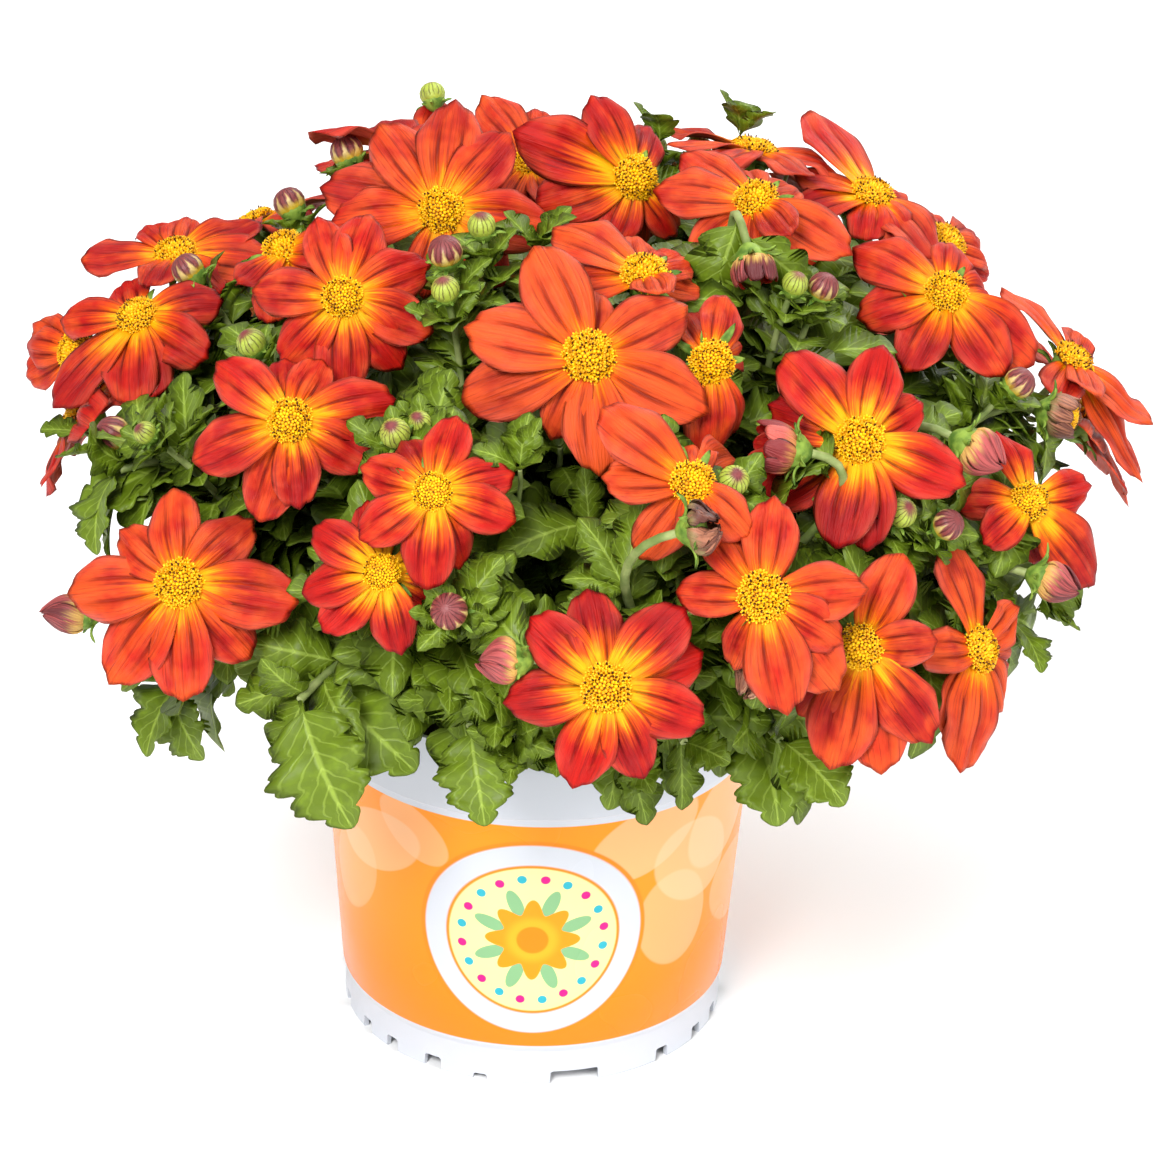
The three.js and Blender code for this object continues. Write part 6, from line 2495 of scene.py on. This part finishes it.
    def first_free(self, curve: Curve, t: float, first: float, seed: float, deepest: float) -> Optional[Spot]:
        """Returns a small leaf that is turned about its stem until it is free, or nothing.

        Args:
            curve: The stem.
            t: The leaf's place on it.
            first: The turn about the stem that is tried first.
            seed: The draw of its length and lean.
            deepest: How far out its tip may lie, in the mound's half sizes.
        """
        base = curve.at(t)
        ahead = curve.ahead(t)
        side = unit(np.cross(ahead, ZENITH) + np.array([1e-4, 0, 0]))
        rise = np.cross(side, ahead)
        normal = ahead + ZENITH * 0.7
        length = lerp(self.shortest, self.longest, draw(seed))
        for attempt in range(self.tries):
            angle = first + (draw(seed + 0.5) - 0.5) * 0.8 + attempt * 0.9 * (-1) ** attempt
            out = side * math.cos(angle) + rise * math.sin(angle)
            lean = lerp(0.35, 0.8, draw(seed + attempt + 0.2))
            tip = base + unit(out + ahead * lean) * length * (1 - 0.07 * attempt)
            if float(np.linalg.norm(unit_of_mound(tip))) > deepest:
                continue
            across = unit(np.cross(normal, tip - base))
            if self.is_free(base + (tip - base) * 0.08, tip, across):
                return self.leaf_spot(base, tip, normal, seed)
        return None

    def make(self, sector: int, branches: Sequence[tuple[int, Branch]]) -> list[Piece]:
        """Returns the pieces of one sector; its stalks stand for the solid of the leafy stem.

        Args:
            sector: The main stem's number.
            branches: The side stems that belong to it, with their numbers.
        """
        stalks = [self.main_stalk(sector)]
        small: list[Spot] = []
        broad: list[Spot] = []
        buds = Shape()
        inner = np.linspace(*self.inner_range, self.inner // 2).tolist()
        small += self.leaves_along(self.planner.mains[sector], inner, 900 + sector * 71, self.deepest)
        for k, twig in enumerate(self.inner_twigs(sector)):
            stalks.append(self.stalk(twig.curve, *self.twig_radii))
            places = np.linspace(*self.twig_range, self.twig_nodes).tolist()
            small += self.leaves_along(twig.curve, places, 1700 + sector * 83 + k * 16, self.deepest)
        for k, sprig in enumerate(self.leafy_tips(sector)):
            stalks.append(self.stalk(sprig.curve, *self.sprig_radii))
            small += self.tuft_leaves(sprig, 2900 + sector * 17 + k * 5.7)
        for index, branch in branches:
            stalks.append(self.stalk(branch.curve, *(self.bud_radii if branch.bud else self.branch_radii)))
            places = np.linspace(*self.branch_range, self.nodes).tolist()
            limit = self.shoot_deepest if branch.tips else self.deepest
            small += self.leaves_along(branch.curve, places, index * 31, limit)
            broad += self.missing_leaves(branch, index * 2.3)
            for leaf in branch.leaves:
                spot = self.leaf_spot(leaf.base, leaf.tip, leaf.normal, index * 3.1)
                (broad if leaf.broad else small).append(spot)
            if branch.bud:
                self.bud.add(buds, branch, index)
                small += self.tuft_leaves(branch, index * 5.3)
        label = sector + 1
        stems = self.tubes.run(f"stalks_{label}", stalks, self.sides, STALK)
        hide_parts(f"leafy_stem_{label}")
        pieces = [stems]
        pieces += self.leaf_pieces(f"leaves_{label}", small, SMALL_LEAVES)
        pieces += self.leaf_pieces(f"broad_leaves_{label}", broad, BROAD_LEAVES)
        if buds.faces:
            pieces.append(buds.make(f"buds_{label}"))
        return pieces

    def leaf_pieces(self, name: str, spots: Sequence[Spot],
                    kinds: Sequence[LeafSizes]) -> list[Piece]:
        """Returns the leaves of one sector, one piece for each form of leaf.

        Args:
            name: The start of their names.
            spots: Where the leaves are.
            kinds: The forms, which take turns.

        Returns:
            The pieces.
        """
        pieces = []
        for kind, sizes in enumerate(kinds):
            chosen = [spot for k, spot in enumerate(spots) if k % len(kinds) == kind]
            if chosen:
                pieces.append(self.scatter.run(f"{name}_{kind + 1}", chosen, sizes.template(), LEAF))
        return pieces


@dataclass
class Pot:
    """Builds the moulded pot: a fine turned wall, cut for its foot blocks and drain holes."""

    columns: int = 180
    notches: tuple[tuple[float, float, float], ...] = (
        (14, 13.5, 3.8), (44, 4.6, 3.8), (61, 4.6, 3.8), (74, 4.6, 3.8), (90, 5.4, 3.8), (105.5, 4.2, 1.8))
    repeats: int = 3
    taper: float = 0.8
    holes: int = 8
    hole_radius: float = 4.0
    hole_ring: float = 36.0
    sharp: float = math.radians(38)

    def profile(self) -> list[Pair]:
        """Returns the wall's outline, from the middle of the floor round to the floor's upper side."""
        rim_foot = POT.height - POT.rim_band
        floor_top = POT.floor + POT.floor_thickness
        foot = POT.foot_radius
        hollow = foot - POT.wall
        rim = POT.rim_radius
        lip = rim - POT.wall
        top = POT.height
        inner = [(POT.wall_radius(z) - POT.wall, z) for z in (rim_foot, 60, 30, floor_top)]
        outer = [(POT.wall_radius(z), z) for z in (POT.band_foot + 0.3, 30, 50, 70, POT.band_top - 0.4)]
        return [
            (0, POT.floor), (hollow - 0.6, POT.floor), (hollow, POT.floor - 0.6), (hollow, 0.25),
            (hollow + 0.25, 0), (foot - 0.35, 0), (foot, 0.35), (foot, POT.band_foot - 1.5),
            (foot + 0.15, POT.band_foot - 1.15), (POT.wall_radius(POT.band_foot) - 0.15, POT.band_foot - 0.1),
            *outer, (POT.wall_radius(POT.band_top) + 0.05, POT.band_top),
            (POT.wall_radius(rim_foot) + 0.1, rim_foot - 0.2), (rim - 1.1, rim_foot + 0.7),
            (rim - 0.8, rim_foot + 1.0), (rim - 0.76, rim_foot + 1.5), (rim - 0.35, top - 9),
            (rim - 0.05, top - 0.7), (rim - 0.2, top - 0.2), (rim - 0.6, top), (lip + 0.4, top),
            (lip, top - 0.4), (lip - 0.3, top - 9), (inner[0][0] + 0.5, rim_foot + 0.8), *inner,
            (0, floor_top),
        ]

    def cutter(self) -> Piece:
        """Returns the notch and hole blocks that are cut away."""
        shape = Shape()
        for repeat in range(self.repeats):
            for at, width, depth in self.notches:
                angle = math.radians(at + 360 / self.repeats * repeat - 90)
                out = outward(angle, 0)
                place = Place(np.array([POT.axis_x, 0, 0]), np.cross(ZENITH, out), ZENITH, out)
                half = width / 2
                corners = [(-half, -1.0), (half, -1.0), (half - self.taper * 0.3, depth - 0.4),
                           (half - self.taper, depth), (-half + self.taper, depth),
                           (-half + self.taper * 0.3, depth - 0.4)]
                self.block(shape, place, corners, POT.foot_radius - 4.5, POT.foot_radius + 3)
        for k in range(self.holes):
            out = outward(TAU * (k + 0.5) / self.holes, 0) * self.hole_ring
            place = Place.upright(POT.axis_x + out[0], out[1])
            shape.lathe(place, [(0, 3), (self.hole_radius, 3), (self.hole_radius, 9), (0, 9)], 24, PLASTIC)
        return shape.make("pot_cutter")

    def block(self, shape: Shape, place: Place, corners: Sequence[Pair], near: float, far: float) -> None:
        """Adds a straight block of an outline between two depths along a place's z.

        Args:
            shape: What it becomes part of.
            place: Its middle, facing out.
            corners: Its outline.
            near: The first depth.
            far: The second depth.
        """
        lines = np.array([[(x, y, z) for x, y in corners] for z in (near, far)])
        index = shape.add_points(place.world(lines))
        shape.skin(index, PLASTIC, ring=True, flip=True)
        ends = place.world(np.array([[0.0, corners[3][1] / 2, z] for z in (near, far)]))
        shape.pole(index[0], ends[0], PLASTIC, 0.0, flip=True)
        shape.pole(index[-1], ends[1], PLASTIC, 1.0)

    def make(self) -> Piece:
        """Returns the pot, which stands for its solid."""
        shape = Shape()
        shape.lathe(Place.upright(POT.axis_x), self.profile(), self.columns, PLASTIC)
        rough = shape.make("rough_pot")
        cutter = self.cutter()
        cut = rough.modifiers.new("cut", "BOOLEAN")
        cut.operation = "DIFFERENCE"
        cut.solver = "EXACT"
        cut.object = cutter
        mesh = evaluated(rough)
        for spent in (rough, cutter):
            bpy.data.objects.remove(spent)
        mesh.set_sharp_from_angle(angle=self.sharp)
        piece = link("moulded_pot", mesh)
        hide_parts("pot")
        return piece


@dataclass
class Soil:
    """Builds the crumbly soil under the stems."""

    rings: int = 40
    columns: int = 120
    crumb: float = 0.9

    def make(self) -> Piece:
        """Returns the soil, which stands for its solid."""
        floor = POT.floor + POT.floor_thickness + 0.3
        edge = POT.wall_radius(POT.height - POT.rim_band) - POT.wall - CROWN.edge_gap
        low = POT.wall_radius(floor) - POT.wall - CROWN.edge_gap
        rows = [ring(low, floor, self.columns), ring(edge, CROWN.soil_top - 1.6, self.columns)]
        for k in range(self.rings):
            share = 1 - (k + 1) / (self.rings + 1)
            rough = np.array([draw(k * 7.1 + a) + draw(k * 3.7 + a * 1.3) - 1 for a in range(self.columns)])
            height = CROWN.soil_top - 1.2 + (1 - share) * (CROWN.soil_rise + 0.4) + rough * self.crumb
            rows.append(ring(edge * share, height, self.columns))
        place = Place.upright(POT.axis_x)
        shape = Shape()
        index = shape.add_points(place.world(np.array(rows)))
        shape.skin(index, SOIL_CRUMB, ring=True, flip=True)
        shape.pole(index[0], place.moved(floor).origin, SOIL_CRUMB, 0.0, flip=True)
        shape.pole(index[-1], place.moved(CROWN.soil_top + 1.0).origin, SOIL_CRUMB, 1.0)
        piece = shape.make("crumbly_soil")
        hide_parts("soil")
        return piece


@dataclass
class Studio:
    """The pale floor, the soft lights and the pale surroundings."""

    floor_size: float = 8.0
    floor_tone: Colour = (0.92, 0.92, 0.92)
    sky_strength: float = 0.45
    lights: tuple[tuple[str, tuple[float, float, float], float, float], ...] = (
        ("key", (-0.55, -1.6, 1.55), 0.8, 52.0),
        ("fill", (1.4, -1.3, 0.9), 1.4, 20.0),
        ("rear", (0.9, 1.7, 1.3), 1.4, 22.0),
        ("top", (0.1, 0.4, 2.1), 1.8, 22.0),
    )
    aim: tuple[float, float, float] = (0.0, 0.0, 0.12)

    def make(self) -> None:
        """Builds the studio."""
        half = self.floor_size / 2
        mesh = bpy.data.meshes.new("studio_floor")
        corners = [(x * half, y * half, 0) for x, y in ((-1, -1), (1, -1), (1, 1), (-1, 1))]
        mesh.from_pydata(corners, [], [(0, 1, 2, 3)])
        paint = Paint("studio_floor")
        mesh.materials.append(paint.finish(base_color=self.floor_tone, roughness=0.9, specular_ior_level=0.1))
        floor = link("studio_floor", mesh)
        for name, spot, size, power in self.lights:
            data = bpy.data.lights.new(name, "AREA")
            data.shape = "DISK"
            data.size = size
            data.energy = power
            lamp = bpy.data.objects.new(name, data)
            lamp.location = spot
            lamp.rotation_euler = (Vector(self.aim) - Vector(spot)).to_track_quat("-Z", "Y").to_euler()
            bpy.context.collection.objects.link(lamp)
        world = bpy.data.worlds.new("studio")
        world.use_nodes = True
        sky = world.node_tree.nodes["Background"]
        sky.inputs["Color"].default_value = (1.0, 1.0, 1.0, 1.0)
        sky.inputs["Strength"].default_value = self.sky_strength
        bpy.context.scene.world = world


PLASTIC = PotPlastic()


def main() -> None:
    """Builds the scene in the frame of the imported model."""
    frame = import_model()
    bpy.context.scene.camera = VIEW.make_camera()
    bpy.context.scene.view_settings.view_transform = "Standard"
    Studio().make()
    solids = Solids(frame)
    planner = Planner(solids)
    blooms = planner.front_blooms() + planner.back_blooms()
    heads = plan_heads()
    branches = planner.branches(blooms, heads)
    LOG.info("planned %d petals", sum(len(plan.petals) for plan in blooms))
    scatter = Scatter()
    maker = BloomMaker()
    pieces = [Pot().make(), Soil().make()]
    pieces += [maker.make(plan, index) for index, plan in enumerate(blooms)]
    head_maker = HeadMaker(maker.disc)
    pieces += [head_maker.make(plan, index) for index, plan in enumerate(heads)]
    pieces += maker.disc.make(scatter)
    foliage = Foliage(solids, planner, scatter, Tubes())
    for sector in range(CROWN.stems):
        own = [(index, branch) for index, branch in enumerate(branches) if branch.sector == sector]
        pieces += foliage.make(sector, own)
    for piece in pieces:
        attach(piece, BODY)
        report(piece)
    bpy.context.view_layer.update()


if __name__ == "__main__":
    main()
